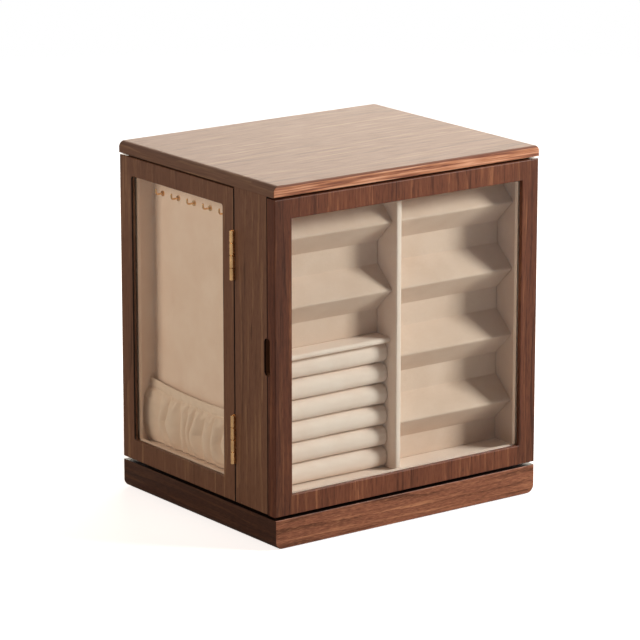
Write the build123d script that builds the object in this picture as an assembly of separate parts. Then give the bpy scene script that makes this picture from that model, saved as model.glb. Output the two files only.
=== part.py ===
from build123d import *
import os

# Rotating jewelry organizer: a small walnut cabinet that turns on its plinth.
# X runs to the right, Y to the back, Z up, all in millimetres.
# The origin is on the surface that the cabinet stands on, under the turning axis.

# Overall sizes
cabinet_width = 257.5
cabinet_depth = 211.0
door_height = 250.0
door_top_gap = 1.75
top_board_thickness = 9.2
top_board_overhang = 0.75
top_board_rounding = 5.0
plinth_height = 23.5
plinth_rounding = 6.5
turntable_gap = 2.4
arris_radius = 0.8

# Carcass boards
front_seam_depth = 10.0
side_seam_depth = 53.6
door_seam = 0.9
side_door_thickness = 8.5
door_back_gap = 0.4
bottom_board_thickness = 10.0
ceiling_board_thickness = 14.0
partition_depth = 40.0
partition_thickness = 9.0
inner_panel_thickness = 6.0
back_post_thickness = 7.5
drawer_shelf_thickness = 5.0

# Plinth
plinth_deck_thickness = 12.0
base_cover_thickness = 3.0
base_cover_ledge = 4.0
base_cover_margin = 1.5
foot_pad_radius = 6.0
foot_pad_proud = 0.8
foot_pad_recess = 1.2
foot_pad_margin = 1.0

# Ball bearing between plinth and cabinet
race_radius = 60.0
race_width = 12.0
race_height = 1.6
bearing_outer_flange = 7.0
bearing_inner_flange = 9.0
bearing_plate_thickness = 1.4
bearing_recess_clearance = 2.0
bearing_recess_depth = 6.0
ball_radius = 2.5
ball_count = 16
ball_clearance = 0.12
cage_width = 9.0
cage_thickness = 1.0
bearing_screw_count = 4
bearing_screw_head_radius = 2.5
bearing_screw_shank_radius = 1.3
bearing_screw_length = 5.2
screw_slot_width = 0.5
screw_slot_depth = 0.5
screw_slot_length_share = 0.6

# Doors
front_stile_width = 16.2
front_rail_width = 16.0
side_front_stile_width = 15.4
side_rear_stile_width = 16.4
side_bottom_rail_width = 17.0
side_top_rail_width = 15.2
side_window_rounding = 2.0
glass_set_back = 3.3
glass_thickness = 2.0
glass_rebate = 5.0
glass_edge_clearance = 0.3
bead_set_back = 0.2
bead_rounding = 0.8

# Finger notches on the seams
notch_length = 30.0
notch_width = 7.5
notch_depth = 5.0
notch_middle_height = 125.8
front_notch_offset = 0.3

# Butt hinges
hinge_length = 39.5
hinge_bottom_margin = 31.0
hinge_top_margin = 32.5
hinge_knuckle_radius = 1.9
hinge_knuckle_wood_gap = 0.1
hinge_knuckle_count = 4
hinge_knuckle_gap = 0.4
hinge_knuckle_chamfer = 0.25
hinge_turning_clearance = 0.15
hinge_leaf_thickness = 1.0
hinge_leaf_margin = 0.5
hinge_pin_radius = 0.8
hinge_pin_clearance = 0.05
hinge_screw_spacing = 24.0
hinge_screw_reach = 4.4
hinge_screw_head_radius = 1.6
hinge_screw_shank_radius = 0.75
hinge_screw_length = 6.0

# Door magnets
magnet_radius = 2.5
magnet_thickness = 2.0
magnet_end_margin = 60.0

# Velvet-covered fittings of the front display
lining_thickness = 2.5
side_lining_thickness = 1.5
lining_set_back = 1.0
divider_thickness = 5.0
divider_front_depth = 13.0
fitting_gap = 0.2
zigzag_board_thickness = 3.0
zigzag_shelf_depth = 19.5
zigzag_top_drop = 22.25
zigzag_bottom_rise = 37.0
zigzag_slope_rise = 18.0
zigzag_under_drop = 18.5
zigzag_nose_rounding = 1.6
zigzag_fold_rounding = 1.2
right_shelf_count = 4
left_shelf_count = 2

# Ring unit
ring_roll_count = 6
ring_roll_gap = 0.4
ring_roll_depth = 16.5
ring_roll_rounding_share = 0.45
ring_roll_end_gap = 0.3
ring_top_depth = 19.7
ring_top_rise = 0.6
ring_top_thickness = 4.4
ring_top_rounding = 2.0
ring_bay_height = 19.7

# Necklace compartments
tray_wall = 2.5
tray_rim_set_back = 1.1
tray_depth = 15.0
hook_count = 12
hook_end_margin = 14.25
hook_wire_radius = 0.75
hook_reach = 7.0
hook_upturn = 4.0
hook_bend_radius = 2.0
hook_plate_radius = 2.2
hook_plate_thickness = 0.8
high_hook_drop = 5.75
low_hook_drop = 16.25

# Gathered pockets
pocket_height = 53.0
pocket_sag = 4.5
pocket_cloth_thickness = 0.9
pocket_end_gap = 0.3
pocket_hem_stand_off = 4.7
pocket_belly = 1.0
pocket_fold_depth = 3.0
pocket_fold_place_shares = (0.0, 0.09, 0.2, 0.29, 0.41, 0.5, 0.61, 0.72, 0.8, 0.9, 1.0)
pocket_fold_depth_shares = (0.7, 1.0, 0.75, 1.0, 0.7, 0.95, 1.0, 0.65, 1.0, 0.8)
pocket_level_height_shares = (0.0, 0.22, 0.55, 0.84, 1.0)
pocket_level_fold_shares = (0.45, 0.95, 1.0, 0.3, 0.12)
pocket_level_belly_shares = (0.1, 0.8, 1.0, 0.3, 0.0)

# Drawers
drawer_count = 4
drawer_front_thickness = 8.0
drawer_gap = 0.5
drawer_running_gap = 0.3
drawer_wall = 4.0
drawer_bottom_thickness = 3.0
drawer_back_clearance = 1.5
drawer_side_height_drop = 6.0
drawer_finger_radius = 13.0
drawer_finger_drop = 9.0

# Overrun of every cut past the face that it opens, and the reach of a pick of edges in a plane
overrun = 1.0
pick_reach = 0.01

# Places worked out from the sizes above
half_width = cabinet_width / 2
front_y = -cabinet_depth / 2
back_y = cabinet_depth / 2
plinth_bottom_z = foot_pad_proud
plinth_top_z = plinth_bottom_z + plinth_height
cabinet_bottom_z = plinth_top_z + turntable_gap
door_top_z = cabinet_bottom_z + door_height
top_board_bottom_z = door_top_z + door_top_gap
top_z = top_board_bottom_z + top_board_thickness
floor_z = cabinet_bottom_z + bottom_board_thickness
ceiling_z = top_board_bottom_z - ceiling_board_thickness

front_door_thickness = front_seam_depth - door_seam / 2
side_panel_thickness = side_door_thickness + door_back_gap
carcass_front_y = front_y + front_seam_depth + door_seam / 2
side_panel_back_y = front_y + side_seam_depth - door_seam / 2
side_door_front_y = front_y + side_seam_depth + door_seam / 2
carcass_half_width = half_width - side_panel_thickness
partition_front_y = front_y + partition_depth
partition_back_y = partition_front_y + partition_thickness
post_front_y = back_y - back_post_thickness
tray_rim_x = carcass_half_width - tray_rim_set_back
tray_back_x = tray_rim_x - tray_depth
inner_panel_outer_x = tray_back_x - tray_wall
inner_panel_inner_x = inner_panel_outer_x - inner_panel_thickness

plinth_wall = plinth_rounding + foot_pad_margin + 2 * foot_pad_radius + base_cover_margin + base_cover_ledge
foot_pad_inset = plinth_rounding + foot_pad_margin + foot_pad_radius

race_outer_radius = race_radius + race_width / 2
race_inner_radius = race_radius - race_width / 2
bearing_plate_radius = race_outer_radius + bearing_outer_flange
bearing_plate_bore = race_inner_radius - bearing_inner_flange
bearing_screw_circle = race_outer_radius + bearing_outer_flange / 2
bearing_recess_radius = bearing_plate_radius + bearing_recess_clearance

hinge_leaf_reach = side_door_thickness - hinge_leaf_margin
hinge_axis_proud = hinge_knuckle_radius + hinge_knuckle_wood_gap
hinge_axis_x = half_width + hinge_axis_proud
front_hinge_y = front_y + front_seam_depth
side_hinge_y = front_y + side_seam_depth

lined_floor_z = floor_z + lining_thickness
lined_ceiling_z = ceiling_z - lining_thickness
lined_half_width = carcass_half_width - side_lining_thickness
divider_half = divider_thickness / 2

first_nose_z = lined_ceiling_z - zigzag_top_drop
last_nose_z = lined_floor_z + zigzag_bottom_rise
zigzag_pitch = (first_nose_z - last_nose_z) / (right_shelf_count - 1)
zigzag_back_y = partition_front_y - zigzag_board_thickness
last_left_nose_z = first_nose_z - (left_shelf_count - 1) * zigzag_pitch
ring_top_back_z = last_left_nose_z - zigzag_under_drop - ring_bay_height
ring_roll_top_z = ring_top_back_z - ring_top_rise - ring_top_thickness
ring_roll_pitch = (ring_roll_top_z - lined_floor_z) / ring_roll_count


def block(x_low, x_high, y_low, y_high, z_low, z_high):
    """A box between two opposite corners."""
    middle = Pos((x_low + x_high) / 2, (y_low + y_high) / 2, (z_low + z_high) / 2)
    return middle * Box(x_high - x_low, y_high - y_low, z_high - z_low)


def upright_cylinder(radius, x, y, z_low, z_high):
    """A cylinder along Z between two heights."""
    return Pos(x, y, (z_low + z_high) / 2) * Cylinder(radius, z_high - z_low)


def edges_in_plane(shape, axis, place):
    """The edges whose middles lie in a plane square to an axis."""
    return shape.edges().filter_by_position(axis, place - pick_reach, place + pick_reach)


def on_right(shape):
    """The mirror image on the right-hand side of what was made on the left."""
    return mirror(shape, about=Plane.YZ)


def group(solids):
    """Separate solids kept together as one node."""
    return Compound(children=list(solids))


parts = {}


# Plinth and its underside
def make_base_plinth():
    plinth = block(-half_width, half_width, front_y, back_y, plinth_bottom_z, plinth_top_z)
    low_edges = edges_in_plane(plinth, Axis.Z, plinth_bottom_z).filter_by(Axis.Y)
    plinth = fillet(low_edges, plinth_rounding)
    for face_y in (front_y, back_y):
        plinth = fillet(edges_in_plane(plinth, Axis.Y, face_y), arris_radius)
    hollow_x = half_width - plinth_wall
    hollow_y = back_y - plinth_wall
    hollow_top_z = plinth_top_z - plinth_deck_thickness
    plinth -= block(-hollow_x, hollow_x, -hollow_y, hollow_y, plinth_bottom_z - overrun, hollow_top_z)
    ledge_x = hollow_x + base_cover_ledge
    ledge_y = hollow_y + base_cover_ledge
    ledge_z = plinth_bottom_z + base_cover_thickness
    plinth -= block(-ledge_x, ledge_x, -ledge_y, ledge_y, plinth_bottom_z - overrun, ledge_z)
    recess_z = plinth_top_z - bearing_recess_depth
    plinth -= upright_cylinder(bearing_recess_radius, 0, 0, recess_z, plinth_top_z + overrun)
    return plinth


def make_base_cover():
    cover_x = half_width - plinth_wall + base_cover_ledge - fitting_gap
    cover_y = back_y - plinth_wall + base_cover_ledge - fitting_gap
    cover_top_z = plinth_bottom_z + base_cover_thickness
    return block(-cover_x, cover_x, -cover_y, cover_y, plinth_bottom_z, cover_top_z)


def make_foot_pads():
    pad_x = half_width - foot_pad_inset
    pad_y = back_y - foot_pad_inset
    pad_top_z = plinth_bottom_z + foot_pad_recess
    places = [(sx * pad_x, sy * pad_y) for sx in (-1, 1) for sy in (-1, 1)]
    return [upright_cylinder(foot_pad_radius, x, y, 0, pad_top_z) for x, y in places]


foot_pads = make_foot_pads()
base_plinth = make_base_plinth()
for pad in foot_pads:
    base_plinth -= pad


# Ball bearing: two ring plates, each with a raised track, and a cage of balls between them
def screw_body(head_radius, shank_radius, head_height, length):
    """A countersunk screw without its slots, with the flat of its head at zero and its point below."""
    outline = Polyline(
        (0, 0),
        (head_radius, 0),
        (shank_radius, -head_height),
        (shank_radius, shank_radius - length),
        (0, -length),
        close=True,
    )
    return revolve(Plane.XZ * make_face(outline), Axis.Z)


def slotted(screw, head_radius):
    """The same screw with its cross slot."""
    slot = Box(2 * head_radius * screw_slot_length_share, screw_slot_width, 2 * screw_slot_depth)
    return screw - slot - Rot(0, 0, 90) * slot


bearing_floor_z = plinth_top_z - bearing_recess_depth
bearing_middle_z = (bearing_floor_z + cabinet_bottom_z) / 2


def make_bearing_plate():
    """The lower ring plate, with its back at zero height and its track above."""
    plate = Pos(0, 0, bearing_plate_thickness / 2) * Cylinder(bearing_plate_radius, bearing_plate_thickness)
    track_top = bearing_plate_thickness + race_height
    track = Cylinder(race_outer_radius, track_top) - Cylinder(race_inner_radius, track_top + overrun)
    plate = plate + Pos(0, 0, track_top / 2) * track
    plate -= Cylinder(bearing_plate_bore, 2 * track_top + overrun)
    ball_height = bearing_middle_z - bearing_floor_z
    plate -= Pos(0, 0, ball_height) * Torus(race_radius, ball_radius + ball_clearance)
    return plate


def bearing_screw_places():
    step = 360 / bearing_screw_count
    turns = [Rot(0, 0, (index + 0.5) * step) for index in range(bearing_screw_count)]
    return [turn * Pos(bearing_screw_circle, 0, 0) for turn in turns]


bearing_screw_body = screw_body(
    bearing_screw_head_radius, bearing_screw_shank_radius, bearing_plate_thickness, bearing_screw_length
)
bearing_screw = slotted(bearing_screw_body, bearing_screw_head_radius)
bearing_plate = make_bearing_plate()
lower_head = Pos(0, 0, bearing_floor_z + bearing_plate_thickness)
upper_head = Pos(0, 0, cabinet_bottom_z - bearing_plate_thickness)
lower_places = [lower_head * place for place in bearing_screw_places()]
upper_places = [upper_head * place * Rot(180, 0, 0) for place in bearing_screw_places()]
bearing_lower_plate = Pos(0, 0, bearing_floor_z) * bearing_plate
bearing_upper_plate = Pos(0, 0, cabinet_bottom_z) * Rot(180, 0, 0) * bearing_plate
for place in lower_places:
    bearing_lower_plate -= place * bearing_screw_body
    base_plinth -= place * bearing_screw_body
for place in upper_places:
    bearing_upper_plate -= place * bearing_screw_body


def make_bearing_balls():
    step = 360 / ball_count
    return [
        Rot(0, 0, index * step) * Pos(race_radius, 0, bearing_middle_z) * Sphere(ball_radius)
        for index in range(ball_count)
    ]


def make_bearing_cage():
    cage = Cylinder(race_radius + cage_width / 2, cage_thickness)
    cage -= Cylinder(race_radius - cage_width / 2, cage_thickness + overrun)
    step = 360 / ball_count
    for index in range(ball_count):
        hole = Cylinder(ball_radius + ball_clearance, cage_thickness + overrun)
        cage -= Rot(0, 0, index * step) * Pos(race_radius, 0, 0) * hole
    return Pos(0, 0, bearing_middle_z) * cage


parts["base_plinth"] = base_plinth
parts["base_cover"] = make_base_cover()
parts["foot_pads"] = group(foot_pads)
parts["bearing_lower_plate"] = bearing_lower_plate
parts["bearing_lower_screws"] = group([place * bearing_screw for place in lower_places])
parts["bearing_balls"] = group(make_bearing_balls())
parts["bearing_cage"] = make_bearing_cage()
parts["bearing_upper_plate"] = bearing_upper_plate
parts["bearing_upper_screws"] = group([place * bearing_screw for place in upper_places])


# Finger notches: upright slots with round ends across a seam
def notch_cutter(face):
    """The slot's body, reaching as far in front of the plane of a face as behind it."""
    slot = SlotOverall(notch_length, notch_width, rotation=90)
    return extrude(face * slot, notch_depth, both=True)


notch_z = cabinet_bottom_z + notch_middle_height
front_notch_y = front_y + front_seam_depth + front_notch_offset
left_notch_x = -half_width + side_door_thickness + door_back_gap / 2
front_notch = Pos(-half_width, front_notch_y, notch_z) * notch_cutter(Plane.YZ)
left_notch = Pos(left_notch_x, back_y, notch_z) * notch_cutter(Plane.XZ)


# Butt hinges, each made about its own pin, with the wood on its +X side and the door leaf on its -Y side
def hinge_knuckle_span(index):
    """Lowest and highest point of one knuckle."""
    pitch = hinge_length / hinge_knuckle_count
    low = -hinge_length / 2 + index * pitch + hinge_knuckle_gap / 2
    return low, low + pitch - hinge_knuckle_gap


def make_hinge_leaf(first_knuckle):
    """A leaf with every second knuckle, on the -Y side of the seam."""
    leaf_reach = hinge_axis_proud + hinge_leaf_reach
    seam_face = -door_seam / 2
    half_length = hinge_length / 2
    leaf = block(0, leaf_reach, seam_face - hinge_leaf_thickness, seam_face, -half_length, half_length)
    for index in range(hinge_knuckle_count):
        low, high = hinge_knuckle_span(index)
        if index % 2 == first_knuckle:
            knuckle = upright_cylinder(hinge_knuckle_radius, 0, 0, low, high)
            leaf += chamfer(knuckle.edges().filter_by(GeomType.CIRCLE), hinge_knuckle_chamfer)
        else:
            room = hinge_knuckle_radius + hinge_turning_clearance
            leaf -= upright_cylinder(room, 0, 0, low - hinge_knuckle_gap, high + hinge_knuckle_gap)
    bore = Cylinder(hinge_pin_radius + hinge_pin_clearance, hinge_length + overrun)
    return leaf - bore


def hinge_mortise():
    """The shallow seat in the wood that the leaf fills flush."""
    reach = hinge_axis_proud + hinge_leaf_reach
    seam_face = -door_seam / 2
    half_length = hinge_length / 2
    deep_face = seam_face - hinge_leaf_thickness
    return block(0, reach, deep_face, seam_face, -half_length, half_length)


def hinge_screws(screw):
    """The two screws of the leaf on the -Y side, driven away from the seam."""
    x = hinge_axis_proud + hinge_screw_reach
    heights = (-hinge_screw_spacing / 2, hinge_screw_spacing / 2)
    return [Pos(x, -door_seam / 2, z) * Rot(-90, 0, 0) * screw for z in heights]


door_leaf = make_hinge_leaf(0)
case_leaf = mirror(make_hinge_leaf(1), about=Plane.XZ)
hinge_screw_body = screw_body(
    hinge_screw_head_radius, hinge_screw_shank_radius, hinge_leaf_thickness, hinge_screw_length
)
door_leaf_screws = hinge_screws(slotted(hinge_screw_body, hinge_screw_head_radius))
case_leaf_screws = [mirror(screw, about=Plane.XZ) for screw in door_leaf_screws]
door_screw_holes = hinge_screws(hinge_screw_body)
case_screw_holes = [mirror(hole, about=Plane.XZ) for hole in door_screw_holes]
for hole in door_screw_holes:
    door_leaf -= hole
for hole in case_screw_holes:
    case_leaf -= hole
door_wood_cuts = [hinge_mortise(), *door_screw_holes]
case_wood_cuts = [mirror(hinge_mortise(), about=Plane.XZ), *case_screw_holes]
hinge_pin = Cylinder(hinge_pin_radius, hinge_length)
hinge_heights = (
    cabinet_bottom_z + hinge_bottom_margin + hinge_length / 2,
    door_top_z - hinge_top_margin - hinge_length / 2,
)


def place_on_left_door(shape):
    """Wood towards +X, door leaf towards +Y."""
    return Pos(-hinge_axis_x, side_hinge_y, 0) * mirror(shape, about=Plane.XZ)


def place_on_right_door(shape):
    """Wood towards -X, door leaf towards +Y."""
    return Pos(hinge_axis_x, side_hinge_y, 0) * Rot(0, 0, 180) * shape


def place_on_front_door(shape):
    """Wood towards -X, door leaf towards -Y."""
    return Pos(hinge_axis_x, front_hinge_y, 0) * mirror(shape, about=Plane.YZ)


hinge_sides = {"front": place_on_front_door, "left": place_on_left_door, "right": place_on_right_door}


def at_hinges(side, shapes):
    """Each shape at both hinges of a door."""
    place = hinge_sides[side]
    return [place(Pos(0, 0, z) * shape) for z in hinge_heights for shape in shapes]


# Magnets: a pair at each door, facing each other across the gap
magnet_heights = (cabinet_bottom_z + magnet_end_margin, door_top_z - magnet_end_margin)
magnet = Cylinder(magnet_radius, magnet_thickness)
front_magnet_x = half_width - side_panel_thickness / 2
side_magnet_y = back_y - back_post_thickness / 2


def front_magnets(face_y, direction):
    """Magnets let into a face square to Y at the left-hand edge of the front."""
    middle_y = face_y + direction * magnet_thickness / 2
    return [Pos(-front_magnet_x, middle_y, z) * Rot(90, 0, 0) * magnet for z in magnet_heights]


def left_magnets(face_x, direction):
    """Magnets let into a face square to X at the rear edge of the left side."""
    middle_x = face_x + direction * magnet_thickness / 2
    return [Pos(middle_x, side_magnet_y, z) * Rot(0, 90, 0) * magnet for z in magnet_heights]


case_magnets = {
    "front": front_magnets(carcass_front_y, 1),
    "left": left_magnets(-carcass_half_width, 1),
}
case_magnets["right"] = [on_right(piece) for piece in case_magnets["left"]]
door_magnets = {
    "front": front_magnets(front_y + front_door_thickness, -1),
    "left": left_magnets(-half_width + side_door_thickness, -1),
}
door_magnets["right"] = [on_right(piece) for piece in door_magnets["left"]]


# Carcass
def make_carcass_board(z_low, z_high):
    return block(-carcass_half_width, carcass_half_width, carcass_front_y, back_y, z_low, z_high)


def make_top_board():
    top_x = half_width + top_board_overhang
    board = block(-top_x, top_x, front_y, back_y, top_board_bottom_z, top_z)
    board = fillet(edges_in_plane(board, Axis.Z, top_z).filter_by(Axis.Y), top_board_rounding)
    for face_y in (front_y, back_y):
        board = fillet(edges_in_plane(board, Axis.Y, face_y), arris_radius)
    return board


def make_left_side_panel():
    low_z = cabinet_bottom_z
    high_z = top_board_bottom_z
    panel = block(-half_width, -carcass_half_width, carcass_front_y, side_panel_back_y, low_z, high_z)
    return fillet(edges_in_plane(panel, Axis.X, -half_width), arris_radius)


def make_left_back_post():
    inner_x = -inner_panel_inner_x
    return block(-carcass_half_width, inner_x, post_front_y, back_y, floor_z, ceiling_z)


def make_left_inner_panel():
    outer_x = -inner_panel_outer_x
    inner_x = -inner_panel_inner_x
    return block(outer_x, inner_x, partition_back_y, post_front_y, floor_z, ceiling_z)


bottom_board = make_carcass_board(cabinet_bottom_z, floor_z)
for place in upper_places:
    bottom_board -= place * bearing_screw_body
ceiling_board = make_carcass_board(ceiling_z, top_board_bottom_z)
left_side_panel = make_left_side_panel()
right_side_panel = on_right(left_side_panel)
left_side_panel -= front_notch
left_back_post = make_left_back_post() - left_notch
case_leaves = []
case_screws = []
pins = []
for side, panels in (("front", "right"), ("left", "left"), ("right", "right")):
    for cut in at_hinges(side, case_wood_cuts):
        if panels == "left":
            left_side_panel -= cut
        else:
            right_side_panel -= cut
    case_leaves += at_hinges(side, [case_leaf])
    case_screws += at_hinges(side, case_leaf_screws)
    pins += at_hinges(side, [hinge_pin])
for piece in case_magnets["front"]:
    left_side_panel -= piece
for piece in case_magnets["left"]:
    left_back_post -= piece

parts["bottom_board"] = bottom_board
parts["ceiling_board"] = ceiling_board
parts["top_board"] = make_top_board()
parts["left_side_panel"] = left_side_panel
parts["right_side_panel"] = right_side_panel
parts["front_partition"] = block(
    -carcass_half_width, carcass_half_width, partition_front_y, partition_back_y, floor_z, ceiling_z
)
left_inner_panel = make_left_inner_panel()
parts["inner_panels"] = group([left_inner_panel, on_right(left_inner_panel)])
parts["back_posts"] = group([left_back_post, on_right(left_back_post)])
parts["cabinet_hinge_leaves"] = group(case_leaves)
parts["cabinet_hinge_screws"] = group(case_screws)
parts["hinge_pins"] = group(pins)
parts["cabinet_magnets"] = group(case_magnets["front"] + case_magnets["left"] + case_magnets["right"])


# Doors: a board with a window, a pane in a rebate behind it, and a bead that keeps the pane in
def window_cut(window, low, high, axis, margin):
    """A block through the window, grown by a margin, between two places on the axis that it looks along."""
    (along_low, along_high), (z_low, z_high) = window
    along = (along_low - margin, along_high + margin)
    height = (z_low - margin, z_high + margin)
    if axis == Axis.Y:
        return block(*along, low, high, *height)
    return block(low, high, *along, *height)


def make_door(board, window, axis, face, inward, thickness, corner_rounding):
    """Frame, pane and bead of a door whose outer face lies in a plane square to an axis."""

    def cut(near, far, margin):
        first = face + inward * near
        second = face + inward * far
        return window_cut(window, min(first, second), max(first, second), axis, margin)

    frame = board - cut(-overrun, thickness + overrun, 0)
    if corner_rounding > 0:
        window_corners = frame.edges().filter_by(axis).sort_by_distance(frame.center())[0:4]
        frame = fillet(window_corners, corner_rounding)
    frame = fillet(edges_in_plane(frame, axis, face), arris_radius)
    frame -= cut(glass_set_back, thickness + overrun, glass_rebate)
    glass_back = glass_set_back + glass_thickness
    pane = cut(glass_set_back, glass_back, glass_rebate - glass_edge_clearance)
    bead_back = thickness - bead_set_back
    bead = cut(glass_back, bead_back, glass_rebate) - cut(glass_back - overrun, thickness, 0)
    bead_face = face + inward * bead_back
    inner_edges = edges_in_plane(bead, axis, bead_face).sort_by(SortBy.LENGTH)[0:4]
    bead = fillet(inner_edges, bead_rounding)
    return frame, pane, bead


front_door_back_y = front_y + front_door_thickness
left_door_inner_x = -half_width + side_door_thickness
front_board = block(-half_width, half_width, front_y, front_door_back_y, cabinet_bottom_z, door_top_z)
front_window = (
    (-half_width + front_stile_width, half_width - front_stile_width),
    (cabinet_bottom_z + front_rail_width, door_top_z - front_rail_width),
)
left_board = block(-half_width, left_door_inner_x, side_door_front_y, back_y, cabinet_bottom_z, door_top_z)
left_window = (
    (front_y + side_seam_depth + side_front_stile_width, back_y - side_rear_stile_width),
    (cabinet_bottom_z + side_bottom_rail_width, door_top_z - side_top_rail_width),
)
front_frame, front_pane, front_bead = make_door(
    front_board, front_window, Axis.Y, front_y, 1, front_door_thickness, 0
)
left_frame, left_pane, left_bead = make_door(
    left_board, left_window, Axis.X, -half_width, 1, side_door_thickness, side_window_rounding
)
door_pieces = {
    "front": (front_frame - front_notch, front_pane, front_bead),
    "left": (left_frame - left_notch, left_pane, left_bead),
}
door_pieces["right"] = tuple(on_right(piece) for piece in door_pieces["left"])
for side, (frame, pane, bead) in door_pieces.items():
    for cut in at_hinges(side, door_wood_cuts) + door_magnets[side]:
        frame -= cut
    parts[side + "_door_frame"] = frame
    parts[side + "_door_glass"] = pane
    parts[side + "_door_bead"] = bead
    parts[side + "_door_hinge_leaves"] = group(at_hinges(side, [door_leaf]))
    parts[side + "_door_hinge_screws"] = group(at_hinges(side, door_leaf_screws))
    parts[side + "_door_magnets"] = group(door_magnets[side])


# Velvet-covered lining cards and divider of the front display
lining_front_y = carcass_front_y + lining_set_back
floor_card = block(
    -carcass_half_width, carcass_half_width, lining_front_y, partition_front_y, floor_z, lined_floor_z
)
ceiling_card = block(
    -carcass_half_width, carcass_half_width, lining_front_y, partition_front_y, lined_ceiling_z, ceiling_z
)
left_card = block(
    -carcass_half_width, -lined_half_width, lining_front_y, partition_front_y, lined_floor_z, lined_ceiling_z
)
parts["front_lining_cards"] = group([floor_card, ceiling_card, left_card, on_right(left_card)])


def make_front_divider():
    front = front_y + divider_front_depth
    divider = block(-divider_half, divider_half, front, partition_front_y, lined_floor_z, lined_ceiling_z)
    return fillet(edges_in_plane(divider, Axis.Y, front).filter_by(Axis.Z), arris_radius)


parts["front_divider"] = make_front_divider()


# Zigzag panels: sloping shelves whose noses carry the earrings
def zigzag_outline(shelf_count, bottom_z):
    """Outline in Y and Z, from the top down the front and back up behind."""
    nose_y = zigzag_back_y - zigzag_shelf_depth
    points = [(zigzag_back_y, lined_ceiling_z)]
    noses = []
    folds = []
    for index in range(shelf_count):
        nose_z = first_nose_z - index * zigzag_pitch
        slope_top = (zigzag_back_y, nose_z + zigzag_slope_rise)
        nose = (nose_y, nose_z)
        under_end = (zigzag_back_y, nose_z - zigzag_under_drop)
        points += [slope_top, nose, under_end]
        noses.append(nose)
        folds += [slope_top, under_end]
    points += [(zigzag_back_y, bottom_z), (partition_front_y, bottom_z)]
    points.append((partition_front_y, lined_ceiling_z))
    return points, noses, folds


def make_zigzag(x_low, x_high, shelf_count, bottom_z):
    points, noses, folds = zigzag_outline(shelf_count, bottom_z)
    outline = Polyline(*points, close=True)
    face = make_face(Plane.YZ * outline)
    panel = Pos(x_low, 0, 0) * extrude(face, x_high - x_low, dir=(1, 0, 0))
    for places, radius in ((noses, zigzag_nose_rounding), (folds, zigzag_fold_rounding)):
        picked = ShapeList()
        for y, z in places:
            lengthwise = edges_in_plane(panel, Axis.Y, y).filter_by(Axis.X)
            picked += lengthwise.filter_by_position(Axis.Z, z - pick_reach, z + pick_reach)
        panel = fillet(picked, radius)
    return panel


column_inner_x = divider_half + fitting_gap
column_outer_x = lined_half_width - fitting_gap
right_zigzag = make_zigzag(column_inner_x, column_outer_x, right_shelf_count, lined_floor_z)
left_zigzag = make_zigzag(-column_outer_x, -column_inner_x, left_shelf_count, ring_top_back_z)
parts["earring_panel_right"] = right_zigzag
parts["earring_panel_left"] = left_zigzag


# Ring unit: soft rolls with slits between them, under a sloping plate
def make_ring_roll(index):
    z_low = lined_floor_z + index * ring_roll_pitch + ring_roll_gap / 2
    z_high = z_low + ring_roll_pitch - ring_roll_gap
    roll_front_y = partition_front_y - ring_roll_depth
    x_high = -column_inner_x - ring_roll_end_gap
    roll = block(-column_outer_x, x_high, roll_front_y, partition_front_y, z_low, z_high)
    front_edges = edges_in_plane(roll, Axis.Y, roll_front_y).filter_by(Axis.X)
    return fillet(front_edges, ring_roll_rounding_share * (z_high - z_low))


def make_ring_unit_top():
    """A plate with a round nose that rises towards the back from the front of the top roll."""
    top_front_y = partition_front_y - ring_top_depth
    outline = Polyline(
        (top_front_y, ring_roll_top_z),
        (partition_front_y, ring_roll_top_z + ring_top_rise),
        (partition_front_y, ring_top_back_z),
        (top_front_y, ring_roll_top_z + ring_top_thickness),
        close=True,
    )
    face = make_face(Plane.YZ * outline)
    width = column_outer_x - column_inner_x
    plate = Pos(-column_outer_x, 0, 0) * extrude(face, width, dir=(1, 0, 0))
    nose_edges = edges_in_plane(plate, Axis.Y, top_front_y).filter_by(Axis.X)
    return fillet(nose_edges, ring_top_rounding)


parts["ring_rolls"] = group([make_ring_roll(index) for index in range(ring_roll_count)])
parts["ring_unit_top"] = make_ring_unit_top()


# Necklace compartments behind the side doors
tray_front_inner_y = partition_back_y + tray_wall
tray_rear_inner_y = post_front_y - tray_wall
tray_floor_z = floor_z + tray_wall
tray_ceiling_z = ceiling_z - tray_wall


def make_left_tray():
    tray = block(-tray_rim_x, -inner_panel_outer_x, partition_back_y, post_front_y, floor_z, ceiling_z)
    open_x = -tray_rim_x - overrun
    low_z = tray_floor_z
    high_z = tray_ceiling_z
    return tray - block(open_x, -tray_back_x, tray_front_inner_y, tray_rear_inner_y, low_z, high_z)


def make_hook():
    """A hook that comes out of the back of the tray towards -X and turns up, with a small round plate."""
    path = FilletPolyline(
        (0, 0, 0), (-hook_reach, 0, 0), (-hook_reach, 0, hook_upturn), radius=hook_bend_radius
    )
    wire = sweep(Plane.YZ * Circle(hook_wire_radius), path=path)
    plate = Rot(0, 90, 0) * Cylinder(hook_plate_radius, hook_plate_thickness)
    tip = Pos(-hook_reach, 0, hook_upturn) * Sphere(hook_wire_radius)
    return wire + Pos(-hook_plate_thickness / 2, 0, 0) * plate + tip


def make_left_hooks():
    """Hooks in two staggered rows, high and low by turns, evenly spaced along the tray."""
    hook = make_hook()
    first_y = tray_front_inner_y + hook_end_margin
    step = (tray_rear_inner_y - hook_end_margin - first_y) / (hook_count - 1)
    drops = (high_hook_drop, low_hook_drop)
    hooks = []
    for index in range(hook_count):
        hook_z = tray_ceiling_z - drops[index % 2]
        hooks.append(Pos(-tray_back_x, first_y + index * step, hook_z) * hook)
    return hooks


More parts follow.
